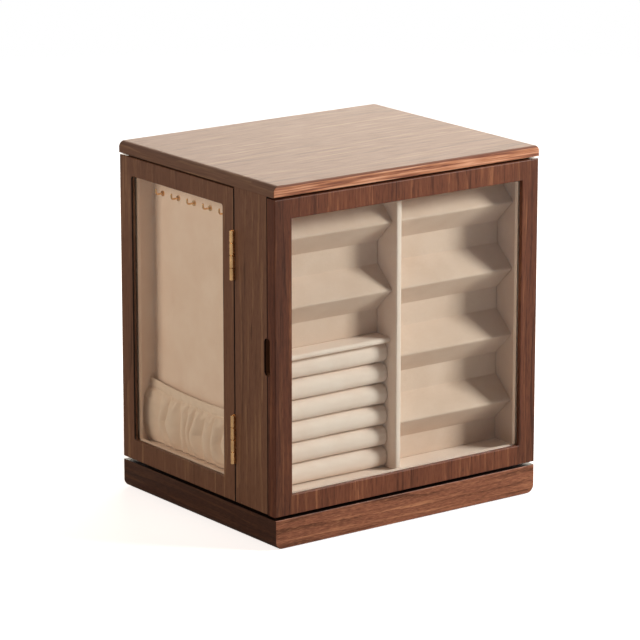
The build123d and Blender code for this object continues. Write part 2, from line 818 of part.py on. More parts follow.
def pocket_section(level):
    """The cloth's outline at one height: arcs between the valleys of the folds, once for each face."""
    first_y = tray_front_inner_y + pocket_end_gap
    length = tray_rear_inner_y - pocket_end_gap - first_y
    fold = pocket_fold_depth * pocket_level_fold_shares[level]
    stand_off = pocket_hem_stand_off + pocket_belly * pocket_level_belly_shares[level]
    inner = []
    outer = []
    for index, share in enumerate(pocket_fold_depth_shares):
        start = first_y + length * pocket_fold_place_shares[index]
        end = first_y + length * pocket_fold_place_shares[index + 1]
        middle = (start + end) / 2
        for edges, distance in ((inner, stand_off), (outer, stand_off + pocket_cloth_thickness)):
            x = -tray_back_x - distance
            crest = x - fold * share
            edges.append(ThreePointArc((x, start), (crest, middle), (x, end)))
    first_end = Line(inner[0] @ 0, outer[0] @ 0)
    last_end = Line(inner[-1] @ 1, outer[-1] @ 1)
    height = tray_floor_z + pocket_end_gap + pocket_height * pocket_level_height_shares[level]
    return Pos(0, 0, height) * make_face([first_end, *outer, last_end, *inner])


def make_left_pocket():
    levels = range(len(pocket_level_height_shares))
    cloth = loft([pocket_section(level) for level in levels], ruled=True)
    hem_z = tray_floor_z + pocket_end_gap + pocket_height
    middle_y = (tray_front_inner_y + tray_rear_inner_y) / 2
    low_y = tray_front_inner_y - overrun
    high_y = tray_rear_inner_y + overrun
    sag = ThreePointArc((low_y, hem_z), (middle_y, hem_z - pocket_sag), (high_y, hem_z))
    lid = Polyline((high_y, hem_z), (high_y, hem_z + overrun), (low_y, hem_z + overrun), (low_y, hem_z))
    face = Plane.YZ * make_face([sag, *lid.edges()])
    above_hem = Pos(-half_width, 0, 0) * extrude(face, half_width, dir=(1, 0, 0))
    return cloth - above_hem


left_tray = make_left_tray()
left_hooks = make_left_hooks()
left_pocket = make_left_pocket()
parts["left_necklace_tray"] = left_tray
parts["right_necklace_tray"] = on_right(left_tray)
parts["necklace_hooks"] = group(left_hooks + [on_right(hook) for hook in left_hooks])
parts["left_pocket"] = left_pocket
parts["right_pocket"] = on_right(left_pocket)


# Drawers at the back
drawer_room_height = ceiling_z - floor_z
drawer_opening_height = (drawer_room_height - (drawer_count - 1) * drawer_shelf_thickness) / drawer_count
drawer_pitch = drawer_opening_height + drawer_shelf_thickness


def make_drawer_shelf(index):
    z_low = floor_z + index * drawer_pitch - drawer_shelf_thickness
    z_high = z_low + drawer_shelf_thickness
    return block(-inner_panel_inner_x, inner_panel_inner_x, partition_back_y, back_y, z_low, z_high)


def make_drawer_front(z_low, z_high):
    """A board with a half-round cut for a finger in its upper edge."""
    x = inner_panel_inner_x - drawer_gap
    board = block(-x, x, back_y - drawer_front_thickness, back_y, z_low, z_high)
    board = fillet(edges_in_plane(board, Axis.Y, back_y), arris_radius)
    middle_z = z_high - drawer_finger_drop + drawer_finger_radius
    finger_length = 2 * (drawer_front_thickness + overrun)
    finger = Pos(0, back_y, middle_z) * Rot(90, 0, 0) * Cylinder(drawer_finger_radius, finger_length)
    return board - finger


def make_drawer_box(z_low, z_high):
    """Bottom, two sides and inner end, closed by the drawer's front board."""
    x = inner_panel_inner_x - drawer_gap
    inner_end_y = partition_back_y + drawer_back_clearance
    outer_end_y = back_y - drawer_front_thickness
    box = block(-x, x, inner_end_y, outer_end_y, z_low, z_high - drawer_side_height_drop)
    room_x = x - drawer_wall
    room_z = z_low + drawer_bottom_thickness
    return box - block(-room_x, room_x, inner_end_y + drawer_wall, outer_end_y + overrun, room_z, z_high)


parts["drawer_shelves"] = group([make_drawer_shelf(index) for index in range(1, drawer_count)])
for index in range(drawer_count):
    low = floor_z + index * drawer_pitch
    front_low = low + drawer_gap
    front_high = low + drawer_opening_height - drawer_gap
    name = "drawer_" + str(index + 1)
    parts[name + "_front"] = make_drawer_front(front_low, front_high)
    parts[name + "_box"] = make_drawer_box(low + drawer_running_gap, front_high)

os.makedirs("parts", exist_ok=True)
for node, shape in parts.items():
    export_step(shape, "parts/" + node + ".step")
print(len(parts), "nodes")
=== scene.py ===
import math
from collections import namedtuple

import bmesh
import bpy
import numpy as np
from bpy.props import FloatProperty, FloatVectorProperty, IntProperty, PointerProperty
from mathutils import Matrix, Vector


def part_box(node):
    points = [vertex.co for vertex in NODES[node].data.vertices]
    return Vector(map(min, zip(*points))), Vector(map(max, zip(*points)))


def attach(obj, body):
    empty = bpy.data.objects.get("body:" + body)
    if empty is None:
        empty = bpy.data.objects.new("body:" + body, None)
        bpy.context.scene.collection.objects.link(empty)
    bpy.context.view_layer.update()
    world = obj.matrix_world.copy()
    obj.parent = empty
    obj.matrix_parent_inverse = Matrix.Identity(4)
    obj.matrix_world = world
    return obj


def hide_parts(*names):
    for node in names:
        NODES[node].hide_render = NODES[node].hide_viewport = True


bl_info = {
    "name": "Rotating jewelry organizer",
    "version": (1, 0, 0),
    "blender": (4, 5, 0),
    "location": "3D View > Sidebar > Organizer",
    "description": "Dresses the organizer's frame in walnut, velvet, brass and glass, and sets up its studio",
    "category": "Object",
}

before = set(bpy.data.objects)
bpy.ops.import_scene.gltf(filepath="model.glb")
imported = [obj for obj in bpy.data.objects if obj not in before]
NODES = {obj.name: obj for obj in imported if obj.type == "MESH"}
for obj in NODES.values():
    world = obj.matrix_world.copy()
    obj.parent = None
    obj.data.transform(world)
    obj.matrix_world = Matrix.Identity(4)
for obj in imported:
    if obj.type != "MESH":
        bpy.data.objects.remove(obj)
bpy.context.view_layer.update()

# Where things lie in the CAD frame, in metres
CARDS_LOW, CARDS_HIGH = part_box("front_lining_cards")
PARTITION_Y = CARDS_HIGH.y
ROLLS_LOW, ROLLS_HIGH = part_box("ring_rolls")
TOP_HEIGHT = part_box("top_board")[1].z
HALF_WIDTH = -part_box("left_side_panel")[0].x

SIDES = ("left", "right")
DOORS = ("front_door", "left_door", "right_door")
DRAWERS = ("drawer_1", "drawer_2", "drawer_3", "drawer_4")


# Sizes and colours that a user would change


def linear(hex_colour):
    """An sRGB hex colour as linear red, green, blue and alpha."""
    values = [int(hex_colour[i : i + 2], 16) / 255 for i in (1, 3, 5)]
    return [v / 12.92 if v <= 0.04045 else ((v + 0.055) / 1.055) ** 2.4 for v in values] + [1.0]


def colour_setting(name, description, hex_colour):
    return FloatVectorProperty(
        name=name, description=description, default=linear(hex_colour)[:3], subtype="COLOR", min=0, max=1
    )


def length_setting(name, description, metres):
    return FloatProperty(
        name=name, description=description, default=metres, unit="LENGTH", min=0, precision=4
    )


def power_setting(name, description, watts):
    return FloatProperty(name=name, description=description, default=watts, unit="POWER", min=0)


def share_setting(name, description, share):
    return FloatProperty(
        name=name, description=description, default=share, subtype="FACTOR", min=0, max=1
    )


class OrganizerWood(bpy.types.PropertyGroup):
    """Walnut and the plain board behind it"""

    pore: colour_setting("Pores", "Colour in the open pores of the walnut", "#341c12")
    dark: colour_setting("Dark grain", "Darkest lines of the walnut's grain", "#57301d")
    middle: colour_setting("Middle grain", "Walnut between dark and light lines", "#804c35")
    light: colour_setting("Light grain", "Lightest lines of the walnut's grain", "#ad7350")
    edge: colour_setting("Front edge", "Lighter solid edge at the front of the top board", "#b67650")
    edge_dark: colour_setting("Front edge, dark", "Darkest streaks of that edge", "#76402a")
    edge_light: colour_setting("Front edge, light", "Lightest streaks of that edge", "#dba280")
    edge_line: colour_setting("Front edge line", "Line where that edge meets the veneer", "#7a4a34")
    # The seam colour is painted shade, standing in for the shade of the gap beside the front door
    seam: colour_setting("Seam", "Front edges of the side boards, beside the front door", "#1c0f09")
    # Dark colour on top of the plinth is painted shade for the gap under the cabinet
    deck_shade: colour_setting("Stain", "Dark stain on top of the plinth", "#140b07")
    board: colour_setting("Plain board", "Fibreboard where no veneer covers it", "#a98763")
    ring_spacing: length_setting("Growth ring spacing", "Distance between the growth rings", 0.0062)


class OrganizerVelvet(bpy.types.PropertyGroup):
    """Velvet and pocket cloth"""

    pile: colour_setting("Pile", "Velvet of divider, floor, rolls and trays, seen along its pile", "#f4e2d4")
    nap: colour_setting("Brushed nap", "That velvet where the pile lies over", "#e8cfbe")
    # Shelf pile and nap are a darker, warmer copy of pile and nap: painted shade for the bays behind the
    # front door
    shaded_shelf_pile: colour_setting("Shelf pile", "Velvet of the earring panels and side cards", "#dec5b2")
    shaded_shelf_nap: colour_setting("Shelf nap", "That velvet where the pile lies over", "#d0b39d")
    cloth: colour_setting("Pocket cloth", "Cloth of the gathered pockets", "#ecd9c8")
    edge_rounding: length_setting("Edge rounding", "Rounding of velvet folded over a board's edge", 0.0007)


class OrganizerMetal(bpy.types.PropertyGroup):
    """Metal fittings"""

    brass: colour_setting("Brass", "Hinges and hooks", "#eec38c")
    zinc: colour_setting("Zinc plate", "Bearing plates, their screws and the ball cage", "#b9bcc0")
    steel: colour_setting("Ground steel", "Balls and magnets", "#c9cbce")


class OrganizerFittings(bpy.types.PropertyGroup):
    """Fittings behind the doors"""

    board_thickness: length_setting("Zigzag board", "Thickness of the zigzag where it meets its wall", 0.003)
    shelf_reach: length_setting("Shelf reach", "From the zigzag's wall to a shelf's nose", 0.0195)
    top_drop: length_setting("First nose drop", "From the ceiling card down to the first nose", 0.02225)
    slope_rise: length_setting("Slope rise", "From a shelf's nose up to its upper fold", 0.018)
    under_drop: length_setting("Under drop", "From a shelf's nose down to its lower fold", 0.0185)
    nose_pitch: length_setting("Nose pitch", "Height between the noses of two shelves", 0.0545)
    roll_count: IntProperty(name="Ring rolls", description="Number of ring rolls", default=6, min=1, max=12)
    roll_gap: length_setting("Slit", "Slit between two rolls, where a ring goes in", 0.0004)
    plate_thickness: length_setting("Ring plate", "Thickness of the plate over the ring rolls", 0.0044)
    plate_rounding: length_setting("Plate nose", "Rounding at the front of that plate", 0.002)
    card_thickness: length_setting("Card", "Thickness of the velvet-covered floor and ceiling cards", 0.0025)
    side_card_thickness: length_setting("Side card", "Thickness of the cards on the side walls", 0.0015)
    tray_wall: length_setting("Tray wall", "Wall of the trays for necklaces", 0.0025)
    pocket_thickness: length_setting("Pocket cloth", "Thickness of the gathered cloth", 0.0008)
    pocket_sag: length_setting("Pocket sag", "How far the pocket's hem sags at its middle", 0.0045)
    fold_depth: length_setting("Pocket folds", "Depth of the deepest fold of the cloth", 0.0078)
    hem_height: length_setting("Hem", "Height of the casing with the elastic", 0.0075)
    drawer_wall: length_setting("Drawer wall", "Walls of the drawers' boxes", 0.004)
    drawer_floor: length_setting("Drawer floor", "Floors of the drawers' boxes", 0.003)
    pad_thickness: length_setting("Drawer pad", "Thickness of the soft pads in the drawers", 0.0026)
    pad_gap: length_setting("Pad gap", "Gap round a pad, so that it lifts out", 0.0006)


class OrganizerStage(bpy.types.PropertyGroup):
    """Lamps and floor"""

    key_power: power_setting("Key lamp", "Power of the lamp at the right", 35)
    fill_power: power_setting("Fill lamp", "Power of the lamp at the left", 19)
    top_power: power_setting("Top lamp", "Power of the lamp above right", 5)
    back_power: power_setting("Back lamp", "Power of the low lamp behind", 23)
    ambient: share_setting("Ambient", "Light from all around", 0.1)
    mirrored: share_setting("Mirrored", "Brightness of the studio in mirrors", 0.5)
    warmth: colour_setting("Warm light", "Colour of the fill lamp and of the light all around", "#ffe6d2")
    back_warmth: colour_setting("Warm back light", "Colour of the back lamp", "#fff3e2")
    floor: colour_setting("Floor", "Colour of the floor", "#f8f7f6")


# Materials


def add(tree, kind, inputs=None, stops=(), **settings):
    """A shader node with its settings. An input is a value, an output to link, or a node whose first output
    in use is linked. Stops are the places and colours of a colour ramp."""
    made = tree.nodes.new("ShaderNode" + kind)
    for name, value in settings.items():
        setattr(made, name, value)
    for name, value in (inputs or {}).items():
        if isinstance(value, bpy.types.Node):
            value = next(output for output in value.outputs if output.enabled)
        if isinstance(value, bpy.types.NodeSocket):
            tree.links.new(value, made.inputs[name])
        else:
            made.inputs[name].default_value = value
    for index, (place, colour) in enumerate(stops):
        elements = made.color_ramp.elements
        if index == len(elements):
            elements.new(1.0)
        elements[index].position = place
        elements[index].color = rgba(colour)
    return made


def new_material(name):
    material = bpy.data.materials.new(name)
    material.use_nodes = True
    material.node_tree.nodes.clear()
    return material, material.node_tree


def rgba(colour):
    return (*colour[:3], 1.0)


def grey(value):
    return rgba([value] * 3)


def darkened(colour, share):
    return rgba([share * v for v in colour])


def blend(tree, *parts):
    """The sum of patterns, each times its share."""
    total = 0.0
    for pattern, share in parts:
        total = add(tree, "Math", {0: pattern, 1: share, 2: total}, operation="MULTIPLY_ADD")
    return total


def per_metre(millimetres):
    """The scale of a noise with cells of this width, which is how many of them fit in a metre."""
    return 1000 / millimetres


def drawn_out(tree, place, width, width_share, detail, roughness=0.5):
    """Noise drawn out along Z, from the width of its cells in millimetres and the share of their length
    that the width is."""
    along = add(tree, "VectorMath", {0: place, 1: (1, 1, width_share)}, operation="MULTIPLY")
    inputs = {"Vector": along, "Scale": per_metre(width), "Detail": detail, "Roughness": roughness}
    return add(tree, "TexNoise", inputs)


# A Wave texture of scale 1 repeats every 0.314 units
WAVE_PERIOD = 0.314

GRAIN_TURNS = {"X": (0, -math.pi / 2, 0), "Y": (math.pi / 2, 0, 0), "Z": (0, 0, 0)}

# A board of walnut: its nodes, the axis that its grain runs along, its place in the log, its tint, how
# light its left and right faces are beside the rest, the width of its pores as a share of their length, the
# share of its paler flecks, how strong its figure is, how much its lacquer mirrors and how rough it is, how
# light it is from place to place along X, and what is drawn over its veneer
Board = namedtuple(
    "Board",
    "nodes grain shift tint side pore_share flecks figure gloss roughness bands overlay",
    defaults=(1.0, 0.08, 0.1, 1.0, 0.22, 0.38, None, None),
)

# What an overlay can follow on a board: the node tree, a point's place, the outputs of its normal, its
# place in the log, and the strength of the figure there
Surface = namedtuple("Surface", "tree place normal log_place figure")

# The mean of the walnut's figure, which stays as it is on a board with a weaker figure
MEAN_FIGURE = 0.535

# Width of the painted shade along the outer edges of the side boards, where they meet the front door
SEAM_SHADE_WIDTH = 0.0014

# How far below the top the dark line over the front edge begins, and how far below it is full
EDGE_LINE_START, EDGE_LINE_FULL = 0.0019, 0.0015


def place_in_log(tree, board, place, sideways):
    """A point's place in the log that the board was cut from, whose axis is Z. The grain runs along one
    axis of the board, but along Y on the left and right faces of a board whose grain runs along X."""
    turned = {}
    for grain in ("X", "Y") if board.grain == "X" else (board.grain,):
        inputs = {"Vector": place, "Rotation": GRAIN_TURNS[grain], "Location": board.shift}
        turned[grain] = add(tree, "Mapping", inputs)
    if board.grain != "X":
        return turned[board.grain]
    at_side = add(tree, "Math", {0: sideways, 1: 0.35}, operation="GREATER_THAN")
    return add(tree, "Mix", {0: at_side, 4: turned["X"], 5: turned["Y"]}, data_type="VECTOR")


def growth_rings(tree, log_place, spacing):
    """Growth rings round the log's axis, which drift to and fro slowly along the grain."""
    drift_share = 0.16
    drift = drawn_out(tree, log_place, 58.8, drift_share, detail=3.0, roughness=0.55).outputs["Color"]
    centred = add(tree, "VectorMath", {0: drift, 1: (0.5, 0.5, 0.5)}, operation="SUBTRACT")
    wander = add(tree, "VectorMath", {0: centred, "Scale": 0.03}, operation="SCALE")
    along = add(tree, "VectorMath", {0: log_place, 1: (1, 1, drift_share)}, operation="MULTIPLY")
    bent = add(tree, "VectorMath", {0: along, 1: wander}, operation="ADD")
    inputs = {"Vector": bent, "Scale": WAVE_PERIOD / spacing, "Distortion": 2.2}
    inputs.update({"Detail": 3.0, "Detail Scale": 1.6})
    rings = add(tree, "TexWave", inputs, wave_type="RINGS", rings_direction="Z", wave_profile="SAW")
    return rings.outputs["Fac"]


def board_lights(tree, board, place, sideways):
    """What a board's colour is multiplied by: its tint, the light on its left and right faces, its bands."""
    at_end = add(tree, "MapRange", {"Value": sideways, "From Min": 0.15, "From Max": 0.6})
    end_light = add(tree, "Mix", {0: at_end, 6: grey(1.0), 7: grey(board.side)}, data_type="RGBA")
    lights = [rgba(board.tint), end_light]
    if board.bands:
        x = add(tree, "SeparateXYZ", {0: place}).outputs["X"]
        low, high = board.bands[0][0], board.bands[-1][0]
        along = add(tree, "MapRange", {"Value": x, "From Min": low, "From Max": high})
        stops = [((at - low) / (high - low), grey(share)) for at, share in board.bands]
        lights.append(add(tree, "ValToRGB", {"Fac": along}, stops))
    return lights


def painted_seam_shade(surface, colour, wood):
    """Painted shade: a dark line at the outer edge of what faces forward, where a side board meets the front
    door, standing in for the shade in the gap between them.
    """
    tree = surface.tree
    x = add(tree, "SeparateXYZ", {0: surface.place}).outputs["X"]
    from_middle = add(tree, "Math", {0: x}, operation="ABSOLUTE")
    outer = add(tree, "Math", {0: from_middle, 1: HALF_WIDTH - SEAM_SHADE_WIDTH}, operation="GREATER_THAN")
    forward = add(tree, "Math", {0: surface.normal["Y"], 1: -0.55}, operation="LESS_THAN")
    seam = add(tree, "Math", {0: outer, 1: forward}, operation="MULTIPLY")
    return add(tree, "Mix", {0: seam, 6: colour, 7: rgba(wood.seam)}, data_type="RGBA")


def painted_deck_shade(surface, colour, wood):
    """Painted shade: dark colour on what faces up, so that the gap under the cabinet stays dark."""
    tree = surface.tree
    upward = add(tree, "Math", {0: surface.normal["Z"], 1: 0.9}, operation="GREATER_THAN")
    return add(tree, "Mix", {0: upward, 6: colour, 7: rgba(wood.deck_shade)}, data_type="RGBA")


def front_edge_band(surface, colour, wood):
    """The solid strip along the front of the top board: paler orange-brown with coarse dark streaks, and a
    dark line along its upper arris where it meets the veneer."""
    tree = surface.tree
    coarse = drawn_out(tree, surface.log_place, width=1.613, width_share=0.03, detail=3.0, roughness=0.6)
    tone = blend(tree, (coarse, 0.75), (surface.figure, 0.25))
    stops = [(0.4, wood.edge_dark), (0.5, wood.edge), (0.6, wood.edge_light)]
    strip = add(tree, "ValToRGB", {"Fac": tone}, stops)
    height = add(tree, "SeparateXYZ", {0: surface.place}).outputs["Z"]
    heights = {"From Min": TOP_HEIGHT - EDGE_LINE_START, "From Max": TOP_HEIGHT - EDGE_LINE_FULL}
    line = add(tree, "MapRange", {"Value": height, **heights})
    strip = add(tree, "Mix", {0: line, 6: strip, 7: rgba(wood.edge_line)}, data_type="RGBA")
    forward = add(tree, "Math", {0: surface.normal["Y"], 1: -0.7}, operation="LESS_THAN")
    return add(tree, "Mix", {0: forward, 6: colour, 7: strip}, data_type="RGBA")


def walnut_veneer(name, board, wood):
    """Walnut, sliced as veneer and satin lacquered: streaks with growth lines, short dark pores, paler
    flecks, and a soft gloss that turns pale at a low angle. Streaks are 1 to 3 mm wide, and pores are drawn
    0.6 mm wide, coarser than real ones."""
    material, tree = new_material(name)
    coordinates = add(tree, "TexCoord")
    place = coordinates.outputs["Object"]
    normal = add(tree, "SeparateXYZ", {0: coordinates.outputs["Normal"]}).outputs
    sideways = add(tree, "Math", {0: normal["X"]}, operation="ABSOLUTE")
    log_place = place_in_log(tree, board, place, sideways)
    streaks = drawn_out(tree, log_place, width=2.326, width_share=0.04, detail=5.0, roughness=0.6)
    broad = drawn_out(tree, log_place, width=18.2, width_share=0.1, detail=2.0)
    pore_noise = drawn_out(tree, log_place, width=0.625, width_share=board.pore_share, detail=2.0)
    rings = growth_rings(tree, log_place, wood.ring_spacing)
    figure = blend(tree, (streaks, 0.62), (rings, 0.15), (broad, 0.3))
    figure = blend(tree, (figure, board.figure), (MEAN_FIGURE, 1 - board.figure))

    stops = [(0.38, wood.dark), (0.5, wood.middle), (0.57, wood.middle), (0.7, wood.light)]
    colour = add(tree, "ValToRGB", {"Fac": figure}, stops)
    pores = add(tree, "ValToRGB", {"Fac": pore_noise}, [(0.54, grey(0.0)), (0.66, grey(1.0))])
    pore_share = add(tree, "Math", {0: pores, 1: 0.42 * board.figure}, operation="MULTIPLY")
    flecks = add(tree, "ValToRGB", {"Fac": pore_noise}, [(0.36, grey(board.flecks)), (0.46, grey(0.0))])
    for share, over in ((pore_share, wood.pore), (flecks, wood.light)):
        colour = add(tree, "Mix", {0: share, 6: colour, 7: rgba(over)}, data_type="RGBA")
    for light in board_lights(tree, board, place, sideways):
        colour = add(tree, "Mix", {0: 1.0, 6: colour, 7: light}, data_type="RGBA", blend_type="MULTIPLY")
    if board.overlay:
        colour = board.overlay(Surface(tree, place, normal, log_place, figure), colour, wood)

    rough = {"From Min": 0.4, "From Max": 0.7, "To Min": board.roughness, "To Max": board.roughness + 0.08}
    roughness = add(tree, "MapRange", {"Value": pore_noise, **rough})
    height = blend(tree, (streaks, 1.0), (pores, -1.0))
    bump = add(tree, "Bump", {"Height": height, "Strength": 0.16, "Distance": 0.00008})
    inputs = {"Base Color": colour, "Roughness": roughness, "Normal": bump}
    inputs.update({"IOR": 1.5, "Specular IOR Level": board.gloss})
    add(tree, "OutputMaterial", {"Surface": add(tree, "BsdfPrincipled", inputs)})
    return material


def plain_fibreboard(name, wood):
    """Medium-density fibreboard, pressed and sanded: flat tan with darker fibres and no gloss. The fibres are
    drawn 1.1 mm wide, coarser than real ones."""
    material, tree = new_material(name)
    place = add(tree, "TexCoord").outputs["Object"]
    inputs = {"Vector": place, "Scale": per_metre(1.11), "Detail": 4.0, "Roughness": 0.7}
    fibres = add(tree, "TexNoise", inputs)
    colour = add(tree, "ValToRGB", {"Fac": fibres}, [(0.3, darkened(wood.board, 0.72)), (0.65, wood.board)])
    bump = add(tree, "Bump", {"Height": fibres, "Strength": 0.3, "Distance": 0.0001})
    shader = add(tree, "BsdfPrincipled", {"Base Color": colour, "Roughness": 0.85, "Normal": bump})
    add(tree, "OutputMaterial", {"Surface": shader})
    return material


def cotton_velvet(name, pile, nap):
    """Short-pile cotton velvet, woven and brushed: matte, with a pale edge where the pile is seen from the
    side, and patches where the pile lies another way. The pile's tufts lie in clumps 1 mm wide."""
    material, tree = new_material(name)
    place = add(tree, "TexCoord").outputs["Object"]
    broad = {"Vector": place, "Scale": per_metre(26.3), "Detail": 3.0, "Roughness": 0.6}
    fine = {"Vector": place, "Scale": per_metre(0.909), "Detail": 4.0, "Roughness": 0.7}
    patches, tufts = add(tree, "TexNoise", broad), add(tree, "TexNoise", fine)
    tone = blend(tree, (tufts, 0.55), (patches, 0.45))
    colour = add(tree, "ValToRGB", {"Fac": tone}, [(0.3, nap), (0.62, pile)])
    bump = add(tree, "Bump", {"Height": tufts, "Strength": 0.5, "Distance": 0.00018})
    inputs = {"Base Color": colour, "Normal": bump, "Roughness": 0.95, "Specular IOR Level": 0.12}
    inputs.update({"Sheen Weight": 0.15, "Sheen Roughness": 0.4, "Sheen Tint": linear("#ffeedb")})
    add(tree, "OutputMaterial", {"Surface": add(tree, "BsdfPrincipled", inputs)})
    return material


def gathered_cloth(name, cloth):
    """Plain-woven brushed polyester for the pockets: soft, with a fine even weave. Its threads are 0.35 mm
    apart and drawn at 0.7 mm; the weave follows the cloth's own UV map, whose unit is a metre of cloth."""
    material, tree = new_material(name)
    place = add(tree, "UVMap", uv_map="cloth")
    thread_spacing = 0.0007
    threads = {"Vector": place, "Scale": WAVE_PERIOD / thread_spacing, "Distortion": 0.4, "Detail": 1.0}
    warp = add(tree, "TexWave", threads, wave_type="BANDS", bands_direction="X").outputs["Fac"]
    weft = add(tree, "TexWave", threads, wave_type="BANDS", bands_direction="Y").outputs["Fac"]
    weave = add(tree, "Math", {0: warp, 1: weft}, operation="MAXIMUM")
    fuzz = add(tree, "TexNoise", {"Vector": place, "Scale": per_metre(8.33), "Detail": 4.0})
    colour = add(tree, "ValToRGB", {"Fac": fuzz}, [(0.35, darkened(cloth, 0.95)), (0.62, cloth)])
    bump = add(tree, "Bump", {"Height": weave, "Strength": 0.25, "Distance": 0.0001})
    inputs = {"Base Color": colour, "Normal": bump, "Roughness": 0.85, "Specular IOR Level": 0.2}
    inputs.update({"Sheen Weight": 0.2, "Sheen Roughness": 0.5})
    add(tree, "OutputMaterial", {"Surface": add(tree, "BsdfPrincipled", inputs)})
    return material


def float_glass(name):
    """Clear float glass, cut and ground at its edges: it shows what is behind it, and mirrors a little at a
    low angle."""
    material, tree = new_material(name)
    place = add(tree, "TexCoord").outputs["Object"]
    film = add(tree, "TexNoise", {"Vector": place, "Scale": per_metre(83.3), "Detail": 2.0})
    rough = {"From Min": 0.4, "From Max": 0.7, "To Min": 0.02, "To Max": 0.05}
    roughness = add(tree, "MapRange", {"Value": film, **rough})
    fresnel = add(tree, "Fresnel", {"IOR": 1.45})
    inside = add(tree, "NewGeometry").outputs["Backfacing"]
    outside = add(tree, "Math", {0: 1.0, 1: inside}, operation="SUBTRACT")
    share = add(tree, "Math", {0: fresnel, 1: outside}, operation="MULTIPLY")
    clear = add(tree, "BsdfTransparent", {"Color": linear("#fbfdfc")})
    mirror = add(tree, "BsdfGlossy", {"Color": grey(0.9), "Roughness": roughness})
    add(tree, "OutputMaterial", {"Surface": add(tree, "MixShader", {0: share, 1: clear, 2: mirror})})
    return material


def metal(name, colour, roughness, mark_width, mark_share):
    """A metal whose marks break up its shine: long ones where it is drawn, even ones where it is plated or
    ground. A mark's width in millimetres is larger than a real one's, so that it shows, and its share of the
    length tells how the metal was worked."""
    material, tree = new_material(name)
    place = add(tree, "TexCoord").outputs["Object"]
    marks = drawn_out(tree, place, mark_width, mark_share, detail=3.0)
    dull = add(tree, "TexNoise", {"Vector": place, "Scale": per_metre(5.56), "Detail": 2.0})
    tint = add(tree, "ValToRGB", {"Fac": dull}, [(0.35, darkened(colour, 0.8)), (0.6, colour)])
    rough = {"From Min": 0.3, "From Max": 0.7, "To Min": 0.75 * roughness, "To Max": 1.3 * roughness}
    uneven = add(tree, "MapRange", {"Value": marks, **rough})
    bump = add(tree, "Bump", {"Height": marks, "Strength": 0.12, "Distance": 0.00003})
    inputs = {"Base Color": tint, "Metallic": 1.0, "Roughness": uneven, "Normal": bump}
    add(tree, "OutputMaterial", {"Surface": add(tree, "BsdfPrincipled", inputs)})
    return material


def moulded_rubber(name):
    """Dark rubber pads, punched from sheet: matte, with a grain drawn at 0.6 mm, coarser than a real one."""
    material, tree = new_material(name)
    place = add(tree, "TexCoord").outputs["Object"]
    grain = add(tree, "TexNoise", {"Vector": place, "Scale": per_metre(0.625), "Detail": 2.0})
    colour = add(tree, "ValToRGB", {"Fac": grain}, [(0.35, linear("#232120")), (0.65, linear("#34302e"))])
    bump = add(tree, "Bump", {"Height": grain, "Strength": 0.4, "Distance": 0.0001})
    shader = add(tree, "BsdfPrincipled", {"Base Color": colour, "Roughness": 0.8, "Normal": bump})
    add(tree, "OutputMaterial", {"Surface": shader})
    return material


def velvet_material(shelf=False):
    """The pale velvet of most linings, or the deeper one of the earring panels and side cards, made on first
    use. The deeper one is a darker, warmer copy of the same velvet: painted shade for the bays behind the
    front door."""
    velvet = bpy.context.scene.organizer_velvet
    if shelf:
        name, pile, nap = "shaded_cotton_velvet", velvet.shaded_shelf_pile, velvet.shaded_shelf_nap
    else:
        name, pile, nap = "cotton_velvet", velvet.pile, velvet.nap
    return bpy.data.materials.get(name) or cotton_velvet(name, pile, nap)


def finish_node(node, material):
    """Puts one material on every slot of a CAD node's object."""
    slots = NODES[node].data.materials
    if not slots:
        slots.append(material)
    for index in range(len(slots)):
        slots[index] = material


# Shapes, worked out as whole arrays

# How far apart the points of a velvet piece lie, and how many go round its edges
SPACING, EDGE_STEPS = 0.002, 5


def corner_arcs(points, radii, steps):
    """A closed outline with every corner rounded. A corner's arc starts and ends at its radius over the
    tangent of half its angle from the corner; its centre lies on the bisector at the radius over the sine;
    the arc's points turn evenly between the two ends."""
    points = np.asarray(points, float)
    radii = np.asarray(radii, float)[:, None]
    to_last = np.roll(points, 1, axis=0) - points
    to_next = np.roll(points, -1, axis=0) - points
    to_last /= np.linalg.norm(to_last, axis=1, keepdims=True)
    to_next /= np.linalg.norm(to_next, axis=1, keepdims=True)
    half = np.arccos(np.clip((to_last * to_next).sum(1, keepdims=True), -1, 1)) / 2
    middle = to_last + to_next
    middle /= np.linalg.norm(middle, axis=1, keepdims=True)
    centre = points + middle * radii / np.sin(half)
    start = points + to_last * radii / np.tan(half) - centre
    end = points + to_next * radii / np.tan(half) - centre
    turn = (math.pi - 2 * half)[:, None, :]
    share = np.linspace(0, 1, steps)[None, :, None]
    weight_start = np.sin((1 - share) * turn) / np.sin(turn)
    weight_end = np.sin(share * turn) / np.sin(turn)
    arcs = centre[:, None, :] + weight_start * start[:, None, :] + weight_end * end[:, None, :]
    return arcs.reshape(-1, 2)


def filled_in(outline, spacing=SPACING):
    """The same closed outline with points at most a spacing apart on its straight runs."""
    following = np.roll(outline, -1, axis=0)
    lengths = np.linalg.norm(following - outline, axis=1)
    counts = np.maximum(1, np.ceil(lengths / spacing).astype(int))
    starts = np.repeat(np.arange(len(outline)), counts)
    first = np.repeat(np.cumsum(counts) - counts, counts)
    share = (np.arange(counts.sum()) - first) / counts[starts]
    return outline[starts] + (following - outline)[starts] * share[:, None]


def outline_normals(outline):
    """Outward unit normals of a closed outline, square to the chord between each point's two neighbours."""
    chord = np.roll(outline, -1, axis=0) - np.roll(outline, 1, axis=0)
    normals = np.stack([chord[:, 1], -chord[:, 0]], axis=1)
    normals /= np.linalg.norm(normals, axis=1, keepdims=True)
    x, y = outline[:, 0], outline[:, 1]
    area = (x * np.roll(y, -1) - np.roll(x, -1) * y).sum()
    return normals * np.sign(area)


